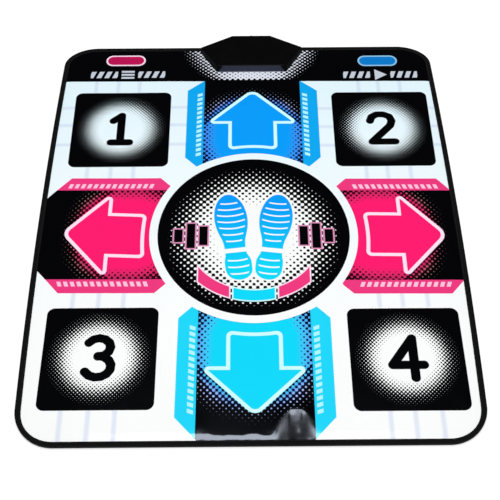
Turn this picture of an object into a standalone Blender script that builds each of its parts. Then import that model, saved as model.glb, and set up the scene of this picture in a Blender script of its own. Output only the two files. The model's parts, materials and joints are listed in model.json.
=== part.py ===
"""Soft dance mat with eight foot pads, two small keys and a control box on its far edge.

The mat lies flat on z = 0. +X is to the right of the player, +Y runs towards the control box and +Z is up.
The origin is the centre of the mat's underside.
"""

import math

import bmesh
import bpy
from mathutils import Matrix, Vector

# Mat outline
MAT_WIDTH = 0.815
MAT_LENGTH = 0.941
WIDEST_Y = -0.050
SIDE_BULGE = 0.0086
FAR_CORNER_WIDTH = 0.070
FAR_CORNER_DEPTH = 0.052
NEAR_CORNER_RADIUS = 0.068
CORNER_STEPS = 6
SIDE_STEPS = 6

# Layers, from the floor up
BACKING_THICKNESS = 0.0015
FILM_THICKNESS = 0.0003
SPACER_THICKNESS = 0.0024
PADDING_THICKNESS = 0.0015
COVER_THICKNESS = 0.0005
LAYER_GAP = 0.0003

# Edge binding
BINDING_THICKNESS = 0.0007
BINDING_WIDTH = 0.011

# Layout of the print and of the pads under it
PRINT_X = 0.0085
PRINT_Y = -0.036
ARROW_SIDE_MARGIN = 0.037
ARROW_LENGTH = 0.1545
ARROW_HEAD_LENGTH = 0.0835
ARROW_HALF_WIDTH = 0.0934
ARROW_HALF_STEM = 0.047
ARROW_CORNER = 0.005
ARROW_BORDER = 0.001
SQUARE_SIZE = 0.200
SQUARE_CORNER = 0.013
SQUARE_SIDE_MARGIN = 0.0365
SQUARE_LIFT = 0.2685
KEY_LENGTH = 0.085
KEY_WIDTH = 0.030
KEY_SIDE_MARGIN = 0.1325
KEY_EDGE_DISTANCE = 0.0415
FACE_GAP = 0.0003
PAD_GAP = 0.0005
CONTACT_MARGIN = 0.006
ROUND_STEPS = 3

# Air holes through the spacer under each pad
HOLE_RADIUS = 0.009
HOLE_PITCH = 0.045
HOLE_SIDES = 6
HOLE_MARGIN = 0.006

# Control box, in plan: a short rear edge, a widest line and a front edge over the mat
BOX_HEIGHT = 0.015
BOX_OVERHANG = 0.0229
BOX_WIDE_BACK = 0.0137
BOX_DEPTH = 0.0976
BOX_REAR_HALF = 0.0435
BOX_WIDE_HALF = 0.113
BOX_FRONT_HALF = 0.0755
BOX_FRONT_DRAFT = 0.0045
BOX_SIDE_DRAFT = 0.0020
BOX_WALL = 0.0020
BOX_EDGE = 0.0025
BOX_CLEARANCE = 0.0005

# Screws that hold the two halves of the box, and their sleeves and bosses
SCREW_RADIUS = 0.0015
SCREW_LENGTH = 0.012
HEAD_RADIUS = 0.0028
HEAD_HEIGHT = 0.0020
HEAD_LIFT = 0.0020
SCREW_CLEARANCE = 0.0003
SLEEVE_RADIUS = 0.0050
BOSS_RADIUS = 0.0045
FRONT_SCREW_X = 0.058
FRONT_SCREW_INSET = 0.0225
REAR_SCREW_X = 0.040
REAR_SCREW_INSET = 0.0135

# Circuit board, its clamp and what it carries
BOARD_WIDTH = 0.076
BOARD_DEPTH = 0.034
BOARD_THICKNESS = 0.0016
BOARD_EDGE_INSET = 0.0275
CLAMP_WIDTH = 0.070
CLAMP_DEPTH = 0.007
CLAMP_THICKNESS = 0.0025
CLAMP_SCREW_SPREAD = 0.030
CLAMP_SCREW_RADIUS = 0.0010
CLAMP_SCREW_LENGTH = 0.009
CLAMP_HEAD_RADIUS = 0.0021
CLAMP_HEAD_HEIGHT = 0.0012
STANDOFF_RADIUS = 0.0032
RIBBON_WIDTH = 0.048
RIBBON_BEND = 0.0022
RIBBON_REACH = 0.0060
CHIP_SIZE = 0.014
CHIP_HEIGHT = 0.0016
HEADER_WIDTH = 0.012
HEADER_DEPTH = 0.005
HEADER_HEIGHT = 0.0050

# Grommet of the cable inlet in the rear wall
INLET_HEIGHT = 0.0066
BORE_RADIUS = 0.0035
NECK_RADIUS = 0.0047
FLANGE_RADIUS = 0.0060
FLANGE_THICKNESS = 0.0014
TURNED_SIDES = 16

# Heights and places that follow
HALF_WIDTH = MAT_WIDTH / 2
HALF_LENGTH = MAT_LENGTH / 2
LOWER_FILM_Z = BACKING_THICKNESS + LAYER_GAP
SPACER_Z = LOWER_FILM_Z + FILM_THICKNESS + LAYER_GAP
UPPER_FILM_Z = SPACER_Z + SPACER_THICKNESS + LAYER_GAP
PADDING_Z = UPPER_FILM_Z + FILM_THICKNESS + LAYER_GAP
COVER_Z = PADDING_Z + PADDING_THICKNESS + LAYER_GAP
MAT_TOP = COVER_Z + COVER_THICKNESS
SHEET_INSET = BINDING_THICKNESS + LAYER_GAP
BACKING_INSET = BINDING_WIDTH + LAYER_GAP

ARROW_TIP = HALF_WIDTH - ARROW_SIDE_MARGIN
ARROW_TAIL = ARROW_TIP - ARROW_LENGTH
SQUARE_SHIFT = HALF_WIDTH - SQUARE_SIDE_MARGIN - SQUARE_SIZE / 2
KEY_SPREAD = HALF_WIDTH - KEY_SIDE_MARGIN
KEY_Y = HALF_LENGTH - KEY_EDGE_DISTANCE

BOX_FLOOR = BACKING_THICKNESS
BOX_REAR_Y = HALF_LENGTH + BOX_OVERHANG
BOX_WIDE_Y = HALF_LENGTH - BOX_WIDE_BACK
BOX_FRONT_Y = BOX_REAR_Y - BOX_DEPTH
BOX_TOP = MAT_TOP + BOX_HEIGHT
BOX_CEILING = BOX_TOP - BOX_WALL
BOX_SPLIT = MAT_TOP + LAYER_GAP
FRONT_SCREW_Y = BOX_FRONT_Y + FRONT_SCREW_INSET
REAR_SCREW_Y = BOX_REAR_Y - REAR_SCREW_INSET

CLAMP_Z = BOX_SPLIT + CLAMP_HEAD_HEIGHT + LAYER_GAP
RIBBON_Z = CLAMP_Z + CLAMP_THICKNESS + LAYER_GAP
BOARD_Z = RIBBON_Z + FILM_THICKNESS + LAYER_GAP
BOARD_TOP = BOARD_Z + BOARD_THICKNESS
BOARD_REAR_Y = BOX_REAR_Y - BOARD_EDGE_INSET
BOARD_Y = BOARD_REAR_Y - BOARD_DEPTH / 2
INLET_Z = MAT_TOP + INLET_HEIGHT

# Direction in degrees in which each arrow points, and side of each square pad and key
ARROWS = {"up": 90, "down": 270, "left": 180, "right": 0}
SQUARES = {"far_left": (-1, 1), "far_right": (1, 1), "near_left": (-1, -1), "near_right": (1, -1)}
KEYS = {"menu": -1, "play": 1}

WHITE_VINYL = ("white_vinyl", (0.86, 0.90, 1.0), 0.25, 0.0)
BLUE_VINYL = ("blue_vinyl", (0.01, 0.40, 0.95), 0.25, 0.0)
PINK_VINYL = ("pink_vinyl", (1.0, 0.03, 0.16), 0.25, 0.0)
BLACK_VINYL = ("black_vinyl", (0.01, 0.01, 0.012), 0.25, 0.0)
BACKING_VINYL = ("backing_vinyl", (0.05, 0.05, 0.06), 0.8, 0.0)
CONDUCTIVE_FILM = ("conductive_film", (0.35, 0.36, 0.38), 0.4, 0.1)
FOAM = ("foam", (0.75, 0.74, 0.68), 0.95, 0.0)
BINDING_TAPE = ("binding_tape", (0.012, 0.012, 0.014), 0.7, 0.0)
BOX_PLASTIC = ("box_plastic", (0.01, 0.01, 0.012), 0.45, 0.0)
BOARD_GREEN = ("board_green", (0.02, 0.20, 0.06), 0.4, 0.0)
CHIP_BLACK = ("chip_black", (0.02, 0.02, 0.02), 0.5, 0.0)
HEADER_CREAM = ("header_cream", (0.80, 0.77, 0.65), 0.5, 0.0)
SCREW_STEEL = ("screw_steel", (0.60, 0.60, 0.62), 0.35, 1.0)
GROMMET_RUBBER = ("grommet_rubber", (0.02, 0.02, 0.02), 0.8, 0.0)


def clear_scene():
    """Removes what the file holds."""
    for old in list(bpy.data.objects):
        bpy.data.objects.remove(old, do_unlink=True)


def new_collection(name):
    """A collection linked to the scene."""
    made = bpy.data.collections.new(name)
    bpy.context.scene.collection.children.link(made)
    return made


def surface(finish):
    """The Principled material of a finish: name, colour, roughness and metallic value."""
    name, colour, roughness, metallic = finish
    found = bpy.data.materials.get(name)
    if found:
        return found
    made = bpy.data.materials.new(name)
    made.use_nodes = True
    shader = made.node_tree.nodes["Principled BSDF"]
    shader.inputs["Base Color"].default_value = (*colour, 1.0)
    shader.inputs["Roughness"].default_value = roughness
    shader.inputs["Metallic"].default_value = metallic
    return made


def add_part(obj, finish):
    """Files an object as a part in its finish."""
    PARTS.objects.link(obj)
    obj.data.materials.clear()
    obj.data.materials.append(surface(finish))
    obj.data.set_sharp_from_angle(angle=math.radians(30))
    return obj


def add_cutter(obj):
    """Files an object as a tool for a Boolean."""
    CUTTERS.objects.link(obj)
    obj.hide_render = True
    obj.display_type = "WIRE"
    return obj


def combine(obj, tool, operation):
    """Adds a live Boolean to an object."""
    step = obj.modifiers.new(tool.name, "BOOLEAN")
    step.operation = operation
    step.solver = "EXACT"
    step.object = tool
    return obj


def slab(name, loops, bottom, thickness):
    """A flat solid: the first loop is its outline and the others are holes through it."""
    curve = bpy.data.curves.new(name, "CURVE")
    curve.dimensions = "2D"
    curve.fill_mode = "BOTH"
    curve.extrude = thickness / 2
    for loop in loops:
        spline = curve.splines.new("POLY")
        spline.points.add(len(loop) - 1)
        for point, (x, y) in zip(spline.points, loop):
            point.co = (x, y, 0.0, 1.0)
        spline.use_cyclic_u = True
    flat = bpy.data.objects.new(name + "_outline", curve)
    flat.location.z = bottom + thickness / 2
    CUTTERS.objects.link(flat)
    bpy.context.view_layer.update()
    graph = bpy.context.evaluated_depsgraph_get()
    mesh = bpy.data.meshes.new_from_object(flat.evaluated_get(graph))
    welded = bmesh.new()
    welded.from_mesh(mesh)
    bmesh.ops.remove_doubles(welded, verts=welded.verts, dist=0.00001)
    bmesh.ops.recalc_face_normals(welded, faces=welded.faces)
    welded.to_mesh(mesh)
    welded.free()
    solid = bpy.data.objects.new(name, mesh)
    solid.matrix_world = flat.matrix_world
    bpy.data.objects.remove(flat, do_unlink=True)
    return solid


def cylinder(name, x, y, bottom, top, radius, sides=TURNED_SIDES):
    """An upright cylinder."""
    mesh = bpy.data.meshes.new(name)
    shape = bmesh.new()
    bmesh.ops.create_cone(
        shape, cap_ends=True, segments=sides, radius1=radius, radius2=radius, depth=top - bottom
    )
    shape.to_mesh(mesh)
    shape.free()
    made = bpy.data.objects.new(name, mesh)
    made.location = (x, y, (bottom + top) / 2)
    return made


def block(name, low, high):
    """A box between two corners."""
    mesh = bpy.data.meshes.new(name)
    shape = bmesh.new()
    size = Vector(high) - Vector(low)
    bmesh.ops.create_cube(shape, size=1.0, matrix=Matrix.Diagonal((*size, 1.0)))
    shape.to_mesh(mesh)
    shape.free()
    made = bpy.data.objects.new(name, mesh)
    made.location = (Vector(low) + Vector(high)) / 2
    return made


def loft(name, lower, upper, bottom, top):
    """A solid between two outlines with as many corners; its upright and top edges may be rounded."""
    mesh = bpy.data.meshes.new(name)
    shape = bmesh.new()
    weight = shape.edges.layers.float.new("bevel_weight_edge")
    below = [shape.verts.new((x, y, bottom)) for x, y in lower]
    above = [shape.verts.new((x, y, top)) for x, y in upper]
    shape.faces.new(list(reversed(below)))
    shape.faces.new(above)
    for index in range(len(lower)):
        after = (index + 1) % len(lower)
        shape.faces.new((below[index], below[after], above[after], above[index]))
    for edge in shape.edges:
        edge[weight] = 0.0 if edge.verts[0] in below and edge.verts[1] in below else 1.0
    bmesh.ops.recalc_face_normals(shape, faces=shape.faces)
    shape.to_mesh(mesh)
    shape.free()
    return bpy.data.objects.new(name, mesh)


def turned(name, profile, sides):
    """A ring turned about Z from a closed profile of (radius, height) points, outer side top to bottom."""
    mesh = bpy.data.meshes.new(name)
    shape = bmesh.new()
    corners = [shape.verts.new((radius, 0.0, height)) for radius, height in profile]
    for index, corner in enumerate(corners):
        shape.edges.new((corner, corners[(index + 1) % len(corners)]))
    shape.to_mesh(mesh)
    shape.free()
    made = bpy.data.objects.new(name, mesh)
    spin = made.modifiers.new("turn", "SCREW")
    spin.axis = "Z"
    spin.angle = math.tau
    spin.steps = sides
    spin.render_steps = sides
    spin.use_merge_vertices = True
    spin.merge_threshold = 0.00001
    return made


def circle_loop(x, y, radius, sides):
    """Corner points of a regular polygon."""
    step = math.tau / sides
    return [(x + radius * math.cos(i * step), y + radius * math.sin(i * step)) for i in range(sides)]


def grown(points, distance):
    """A counter-clockwise outline with each edge moved outwards by a distance."""
    count = len(points)
    lines = []
    for index in range(count):
        start = Vector(points[index])
        along = (Vector(points[(index + 1) % count]) - start).normalized()
        lines.append((start + Vector((along.y, -along.x)) * distance, along))
    moved = []
    for index in range(count):
        (first, before), (second, after) = lines[index - 1], lines[index]
        share = (second - first).cross(after) / before.cross(after)
        moved.append(tuple(first + before * share))
    return moved


def rounded(points, radius, steps):
    """A counter-clockwise outline with each corner turned into an arc of a radius."""
    made = []
    for index, corner in enumerate(points):
        corner = Vector(corner)
        back = (Vector(points[index - 1]) - corner).normalized()
        ahead = (Vector(points[(index + 1) % len(points)]) - corner).normalized()
        half = back.angle(ahead) / 2
        centre = corner + (back + ahead).normalized() * (radius / math.sin(half))
        start = corner + back * (radius / math.tan(half)) - centre
        turn = math.copysign(math.pi - 2 * half, -back.cross(ahead))
        for step in range(steps + 1):
            made.append(tuple(centre + Matrix.Rotation(turn * step / steps, 2) @ start))
    return made


def rectangle(x, y, half_x, half_y):
    """Counter-clockwise corners of a rectangle."""
    return [
        (x - half_x, y - half_y),
        (x + half_x, y - half_y),
        (x + half_x, y + half_y),
        (x - half_x, y + half_y),
    ]


def capsule(x, y, half_x, half_y):
    """A level outline with half round ends, counter-clockwise."""
    made = []
    for end, first in ((1, -90), (-1, 90)):
        for step in range(2 * ROUND_STEPS + 1):
            turn = math.radians(first + 90 * step / ROUND_STEPS)
            across = x + end * (half_x - half_y) + half_y * math.cos(turn)
            made.append((across, y + half_y * math.sin(turn)))
    return made


def mat_outline(inset):
    """The mat's outline: elliptical corners, straight ends and long sides that swell to the widest place."""
    half_x = HALF_WIDTH - inset
    half_y = HALF_LENGTH - inset
    far = (FAR_CORNER_WIDTH - inset, FAR_CORNER_DEPTH - inset)
    near = (NEAR_CORNER_RADIUS - inset, NEAR_CORNER_RADIUS - inset)
    right = []
    for step in range(CORNER_STEPS + 1):
        turn = math.pi / 2 * step / CORNER_STEPS
        right.append((half_x - near[0] * (1 - math.sin(turn)), -half_y + near[1] * (1 - math.cos(turn))))
    low = right[-1][1]
    high = half_y - far[1]
    for step in range(1, SIDE_STEPS):
        right.append((half_x, low + (high - low) * step / SIDE_STEPS))
    for step in range(CORNER_STEPS + 1):
        turn = math.pi / 2 * step / CORNER_STEPS
        right.append((half_x - far[0] * (1 - math.cos(turn)), high + far[1] * math.sin(turn)))
    swollen = [(x - SIDE_BULGE * ((y - WIDEST_Y) / HALF_LENGTH) ** 2, y) for x, y in right]
    return swollen + [(-x, y) for x, y in reversed(swollen)]


def turned_from_print(points, degrees):
    """Points given along and across an arrow's direction, placed about the middle of the print."""
    turn = Matrix.Rotation(math.radians(degrees), 2)
    return [tuple(turn @ Vector(point) + Vector((PRINT_X, PRINT_Y))) for point in points]


def arrow_face(degrees, gap):
    """Outline of an arrow with rounded corners, grown by a gap."""
    head = ARROW_TIP - ARROW_HEAD_LENGTH
    right_half = [(ARROW_TAIL, -ARROW_HALF_STEM), (head, -ARROW_HALF_STEM), (head, -ARROW_HALF_WIDTH)]
    left_half = [(along, -across) for along, across in reversed(right_half)]
    corners = right_half + [(ARROW_TIP, 0.0)] + left_half
    return turned_from_print(rounded(grown(corners, gap), ARROW_CORNER + gap, ROUND_STEPS), degrees)


def arrow_pad(degrees, gap):
    """Rectangle that holds an arrow, with a border, grown by a gap."""
    middle = (ARROW_TIP + ARROW_TAIL) / 2
    half = ARROW_LENGTH / 2 + ARROW_BORDER + gap
    across = ARROW_HALF_WIDTH + ARROW_BORDER + gap
    return turned_from_print(rectangle(middle, 0.0, half, across), degrees)


def square_pad(side, gap):
    """Rounded square of a corner pad, grown by a gap."""
    x = PRINT_X + side[0] * SQUARE_SHIFT
    y = PRINT_Y + side[1] * SQUARE_LIFT
    half = SQUARE_SIZE / 2 + gap
    return rounded(rectangle(x, y, half, half), SQUARE_CORNER + gap, ROUND_STEPS)


def key_pad(side, gap):
    """Fully rounded outline of a small key, grown by a gap."""
    x = PRINT_X + side * KEY_SPREAD
    return capsule(x, KEY_Y, KEY_LENGTH / 2 + gap, KEY_WIDTH / 2 + gap)


def pads():
    """Each pad's name, the functions of its printed face and of its foam, their argument and its finish."""
    for name, degrees in ARROWS.items():
        yield name, arrow_face, arrow_pad, degrees, BLUE_VINYL if degrees % 180 else PINK_VINYL
    for name, side in SQUARES.items():
        yield name, square_pad, square_pad, side, BLACK_VINYL
    for name, side in KEYS.items():
        yield name, key_pad, key_pad, side, PINK_VINYL if side < 0 else BLUE_VINYL


def middle_and_size(outline):
    """Middle of an outline's box and the box's size."""
    low = Vector((min(x for x, _ in outline), min(y for _, y in outline)))
    high = Vector((max(x for x, _ in outline), max(y for _, y in outline)))
    return (low + high) / 2, high - low


def air_holes(outline):
    """Rows of holes over the middle of a pad's outline, as many as fit."""
    middle, size = middle_and_size(outline)
    taken = 2 * (HOLE_RADIUS + HOLE_MARGIN)
    columns = int((size.x - taken) / HOLE_PITCH) + 1
    rows = int((size.y - taken) / HOLE_PITCH) + 1
    first_x = middle.x - (columns - 1) * HOLE_PITCH / 2
    first_y = middle.y - (rows - 1) * HOLE_PITCH / 2
    return [
        circle_loop(first_x + i * HOLE_PITCH, first_y + j * HOLE_PITCH, HOLE_RADIUS, HOLE_SIDES)
        for i in range(columns)
        for j in range(rows)
    ]


def moving_part(obj, finish, pivot):
    """Files a piece of a pad that moves with its pivot."""
    obj.parent = pivot
    obj.matrix_parent_inverse = Matrix.Translation(-pivot.location)
    return add_part(obj, finish)


def make_pads():
    """Printed face, foam, contact and perforated spacer of each pad; a key has no spacer of its own."""
    for name, face, pad, where, finish in pads():
        foam = pad(where, 0.0)
        contact = pad(where, -CONTACT_MARGIN)
        pivot = bpy.data.objects.new(name + "_pivot", None)
        pivot.location = middle_and_size(foam)[0].to_3d()
        PARTS.objects.link(pivot)
        moving_part(slab(name + "_face", [face(where, 0.0)], COVER_Z, COVER_THICKNESS), finish, pivot)
        moving_part(slab(name + "_foam", [foam], PADDING_Z, PADDING_THICKNESS), FOAM, pivot)
        film = slab(name + "_contact", [contact], UPPER_FILM_Z, FILM_THICKNESS)
        moving_part(film, CONDUCTIVE_FILM, pivot)
        if name not in KEYS:
            loops = [foam] + air_holes(foam)
            add_part(slab(name + "_spacer", loops, SPACER_Z, SPACER_THICKNESS), FOAM)


def box_plan(distance, draft=0.0):
    """The control box in plan, grown by a distance; draft 1 gives the outline of its top."""
    side = BOX_SIDE_DRAFT * draft
    front = BOX_FRONT_Y + BOX_FRONT_DRAFT * draft
    right = [
        (BOX_FRONT_HALF - side, front),
        (BOX_WIDE_HALF - side, BOX_WIDE_Y),
        (BOX_REAR_HALF - side, BOX_REAR_Y),
    ]
    left = [(-x, y) for x, y in reversed(right)]
    return grown([(PRINT_X + x, y) for x, y in right + left], distance)


def screw_places():
    """Name and place of each screw of the box."""
    for end, x, y in (("front", FRONT_SCREW_X, FRONT_SCREW_Y), ("rear", REAR_SCREW_X, REAR_SCREW_Y)):
        yield f"box_screw_{end}_left", PRINT_X - x, y
        yield f"box_screw_{end}_right", PRINT_X + x, y


def make_sheets():
    """The layers that don't move: backing, films, spacer, padding and printed cover."""
    sleeve_holes = [
        circle_loop(x, y, SLEEVE_RADIUS + BOX_CLEARANCE, TURNED_SIDES)
        for name, x, y in screw_places()
        if y < HALF_LENGTH
    ]
    windows = [pad(where, PAD_GAP) for _, _, pad, where, _ in pads()]
    faces = [face(where, FACE_GAP) for _, face, _, where, _ in pads()]
    edge = mat_outline(SHEET_INSET)
    backing = slab("backing_sheet", [mat_outline(BACKING_INSET)], 0.0, BACKING_THICKNESS)
    notch = slab("box_notch", [box_plan(LAYER_GAP)], -BOX_FLOOR, BACKING_THICKNESS + 2 * BOX_FLOOR)
    add_part(combine(backing, add_cutter(notch), "DIFFERENCE"), BACKING_VINYL)
    lower = slab("lower_film", [edge] + sleeve_holes, LOWER_FILM_Z, FILM_THICKNESS)
    add_part(lower, CONDUCTIVE_FILM)
    holed = [edge] + sleeve_holes + windows
    add_part(slab("spacer_sheet", holed, SPACER_Z, SPACER_THICKNESS), FOAM)
    add_part(slab("upper_film", holed, UPPER_FILM_Z, FILM_THICKNESS), CONDUCTIVE_FILM)
    add_part(slab("padding_sheet", holed, PADDING_Z, PADDING_THICKNESS), FOAM)
    add_part(slab("top_cover", [edge] + sleeve_holes + faces, COVER_Z, COVER_THICKNESS), WHITE_VINYL)


def make_binding():
    """Tape folded round the mat's edge, open where the control box stands."""
    top = BOX_SPLIT + BINDING_THICKNESS
    tape = slab("edge_binding", [mat_outline(0.0), mat_outline(BINDING_WIDTH)], 0.0, top)
    inner_height = BOX_SPLIT - BINDING_THICKNESS
    fold = slab("binding_fold", [mat_outline(BINDING_THICKNESS)], BINDING_THICKNESS, inner_height)
    gap_height = top + 2 * BINDING_THICKNESS
    gap = slab("binding_gap", [box_plan(BOX_CLEARANCE)], -BINDING_THICKNESS, gap_height)
    combine(tape, add_cutter(fold), "DIFFERENCE")
    combine(tape, add_cutter(gap), "DIFFERENCE")
    add_part(tape, BINDING_TAPE)


def make_box_base():
    """Floor of the control box, with a rear rim behind the mat and a sleeve for each screw."""
    base = slab("box_base", [rounded(box_plan(0.0), BOX_EDGE, ROUND_STEPS)], 0.0, MAT_TOP)
    hollow = slab("base_hollow", [box_plan(-BOX_WALL)], BOX_FLOOR, BOX_TOP)
    combine(base, add_cutter(hollow), "DIFFERENCE")
    low = (PRINT_X - 2 * BOX_WIDE_HALF, BOX_FRONT_Y - BOX_WALL, BOX_FLOOR)
    high = (PRINT_X + 2 * BOX_WIDE_HALF, HALF_LENGTH + BOX_CLEARANCE, BOX_TOP)
    combine(base, add_cutter(block("mat_slot", low, high)), "DIFFERENCE")
    seat = HEAD_LIFT + HEAD_HEIGHT + SCREW_CLEARANCE
    for name, x, y in screw_places():
        sleeve = cylinder(name + "_sleeve", x, y, BOX_FLOOR / 2, MAT_TOP, SLEEVE_RADIUS)
        combine(base, add_cutter(sleeve), "UNION")
        recess = cylinder(name + "_recess", x, y, -BOX_FLOOR, seat, HEAD_RADIUS + SCREW_CLEARANCE)
        combine(base, add_cutter(recess), "DIFFERENCE")
        way = cylinder(name + "_way", x, y, HEAD_LIFT, BOX_SPLIT, SCREW_RADIUS + SCREW_CLEARANCE)
        combine(base, add_cutter(way), "DIFFERENCE")
    add_part(base, BOX_PLASTIC)


def facing_back(y):
    """Place on the inlet's axis that turns a piece's +Z to the rear."""
    return Matrix.Translation((PRINT_X, y, INLET_Z)) @ Matrix.Rotation(-math.pi / 2, 4, "X")


def make_box_cover():
    """Upper shell of the control box, with its screw bosses, board standoffs and cable inlet."""
    cover = loft("box_cover", box_plan(0.0), box_plan(0.0, 1.0), BOX_SPLIT, BOX_TOP)
    soften = cover.modifiers.new("soft_edges", "BEVEL")
    soften.width = BOX_EDGE
    soften.segments = ROUND_STEPS
    soften.limit_method = "WEIGHT"
    inside = loft(
        "cover_hollow", box_plan(-BOX_WALL), box_plan(-BOX_WALL, 1.0), BOX_SPLIT - BOX_WALL, BOX_CEILING
    )
    combine(cover, add_cutter(inside), "DIFFERENCE")
    screw_top = HEAD_LIFT + HEAD_HEIGHT + SCREW_LENGTH + SCREW_CLEARANCE
    for name, x, y in screw_places():
        boss = cylinder(name + "_boss", x, y, BOX_SPLIT, BOX_CEILING + BOX_WALL / 2, BOSS_RADIUS)
        combine(cover, add_cutter(boss), "UNION")
        pilot = cylinder(name + "_pilot", x, y, MAT_TOP, screw_top, SCREW_RADIUS + SCREW_CLEARANCE)
        combine(cover, add_cutter(pilot), "DIFFERENCE")
    clamp_top = CLAMP_Z - LAYER_GAP + CLAMP_SCREW_LENGTH + SCREW_CLEARANCE
    for name, x in clamp_screw_places():
        post = cylinder(
            name + "_post", x, BOARD_Y, BOARD_TOP + LAYER_GAP, BOX_CEILING + BOX_WALL / 2, STANDOFF_RADIUS
        )
        combine(cover, add_cutter(post), "UNION")
        radius = CLAMP_SCREW_RADIUS + SCREW_CLEARANCE
        pilot = cylinder(name + "_pilot", x, BOARD_Y, BOARD_TOP, clamp_top, radius)
        combine(cover, add_cutter(pilot), "DIFFERENCE")
    reach = 3 * BOX_WALL
    inlet = cylinder("inlet_hole", 0.0, 0.0, -reach, reach, NECK_RADIUS + SCREW_CLEARANCE)
    inlet.matrix_world = facing_back(BOX_REAR_Y)
    combine(cover, add_cutter(inlet), "DIFFERENCE")
    add_part(cover, BOX_PLASTIC)


def make_grommet():
    """Rubber grommet in the rear wall: a neck through the wall between an inner and an outer flange."""
    wall = BOX_WALL / 2 + SCREW_CLEARANCE
    edge = wall + FLANGE_THICKNESS
    profile = [
        (FLANGE_RADIUS, edge),
        (FLANGE_RADIUS, wall),
        (NECK_RADIUS, wall),
        (NECK_RADIUS, -wall),
        (FLANGE_RADIUS, -wall),
        (FLANGE_RADIUS, -edge),
        (BORE_RADIUS, -edge),
        (BORE_RADIUS, edge),
    ]
    ring = turned("cable_grommet", profile, TURNED_SIDES)
    ring.matrix_world = facing_back(BOX_REAR_Y - BOX_WALL / 2)
    add_part(ring, GROMMET_RUBBER)


def screw(name, x, y, bottom, head, shank):
    """A screw with a round head below its shank; head and shank are (radius, length)."""
    head_radius, head_height = head
    radius, length = shank
    made = cylinder(name, x, y, bottom, bottom + head_height, head_radius)
    stem = cylinder(name + "_shank", x, y, bottom + head_height / 2, bottom + head_height + length, radius)
    combine(made, add_cutter(stem), "UNION")
    slot_half = radius / 4
    slot = block(
        name + "_slot",
        (x - head_radius, y - slot_half, bottom - head_height),
        (x + head_radius, y + slot_half, bottom + head_height / 3),
    )
    combine(made, add_cutter(slot), "DIFFERENCE")
    return add_part(made, SCREW_STEEL)


def make_box_screws():
    """The four screws that pull the box together through the mat."""
    for name, x, y in screw_places():
        screw(name, x, y, HEAD_LIFT, (HEAD_RADIUS, HEAD_HEIGHT), (SCREW_RADIUS, SCREW_LENGTH))


def clamp_screw_places():
    """Name and place across of each screw of the ribbon clamp."""
    yield "clamp_screw_left", PRINT_X - CLAMP_SCREW_SPREAD
    yield "clamp_screw_right", PRINT_X + CLAMP_SCREW_SPREAD


def clamp_holes():
    """Holes for the clamp's screws."""
    radius = CLAMP_SCREW_RADIUS + SCREW_CLEARANCE
    return [circle_loop(x, BOARD_Y, radius, TURNED_SIDES // 2) for _, x in clamp_screw_places()]


def on_board(name, y, size):
    """A block of a size that stands on the middle line of the board."""
    low = Vector((PRINT_X - size[0] / 2, y - size[1] / 2, BOARD_TOP + LAYER_GAP))
    return block(name, low, low + Vector(size))


def make_board():
    """Circuit board under its posts, its chip and header, and the clamp that presses the ribbon to it."""
    outline = rectangle(PRINT_X, BOARD_Y, BOARD_WIDTH / 2, BOARD_DEPTH / 2)
    add_part(slab("circuit_board", [outline] + clamp_holes(), BOARD_Z, BOARD_THICKNESS), BOARD_GREEN)
    bar = rectangle(PRINT_X, BOARD_Y, CLAMP_WIDTH / 2, CLAMP_DEPTH / 2)
    add_part(slab("clamp_bar", [bar] + clamp_holes(), CLAMP_Z, CLAMP_THICKNESS), SCREW_STEEL)
    head_z = CLAMP_Z - LAYER_GAP - CLAMP_HEAD_HEIGHT
    for name, x in clamp_screw_places():
        screw(
            name,
            x,
            BOARD_Y,
            head_z,
            (CLAMP_HEAD_RADIUS, CLAMP_HEAD_HEIGHT),
            (CLAMP_SCREW_RADIUS, CLAMP_SCREW_LENGTH),
        )
    chip = on_board("controller_chip", BOARD_Y, (CHIP_SIZE, CHIP_SIZE, CHIP_HEIGHT))
    add_part(chip, CHIP_BLACK)
    header_y = BOARD_REAR_Y - HEADER_DEPTH
    header = on_board("cable_header", header_y, (HEADER_WIDTH, HEADER_DEPTH, HEADER_HEIGHT))
    add_part(header, HEADER_CREAM)


def make_ribbon():
    """Ribbon from the edge of the films, up behind the mat and under the board: a bent strip."""
    low_z = LOWER_FILM_Z + FILM_THICKNESS / 2
    high_z = RIBBON_Z + FILM_THICKNESS / 2
    start_y = HALF_LENGTH - SHEET_INSET + LAYER_GAP
    back_y = HALF_LENGTH + RIBBON_REACH
    path = [(start_y, low_z)]
    for height, first in ((low_z + RIBBON_BEND, -90), (high_z - RIBBON_BEND, 0)):
        for step in range(ROUND_STEPS + 1):
            turn = math.radians(first + 90 * step / ROUND_STEPS)
            out = back_y - RIBBON_BEND + RIBBON_BEND * math.cos(turn)
            path.append((out, height + RIBBON_BEND * math.sin(turn)))
    path.append((BOARD_Y - CLAMP_DEPTH / 2, high_z))
    mesh = bpy.data.meshes.new("tail_ribbon")
    shape = bmesh.new()
    line = [shape.verts.new((PRINT_X - RIBBON_WIDTH / 2, y, z)) for y, z in path]
    edges = [shape.edges.new(pair) for pair in zip(line, line[1:])]
    spread = bmesh.ops.extrude_edge_only(shape, edges=edges)
    moved = [item for item in spread["geom"] if isinstance(item, bmesh.types.BMVert)]
    bmesh.ops.translate(shape, verts=moved, vec=(RIBBON_WIDTH, 0.0, 0.0))
    shape.to_mesh(mesh)
    shape.free()
    ribbon = bpy.data.objects.new("tail_ribbon", mesh)
    wall = ribbon.modifiers.new("thickness", "SOLIDIFY")
    wall.thickness = FILM_THICKNESS
    wall.offset = 0.0
    add_part(ribbon, CONDUCTIVE_FILM)


clear_scene()
PARTS = new_collection("dance_mat")
CUTTERS = new_collection("cutters")
make_sheets()
make_pads()
make_binding()
make_box_base()
make_box_cover()
make_grommet()
make_box_screws()
make_board()
make_ribbon()
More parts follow.
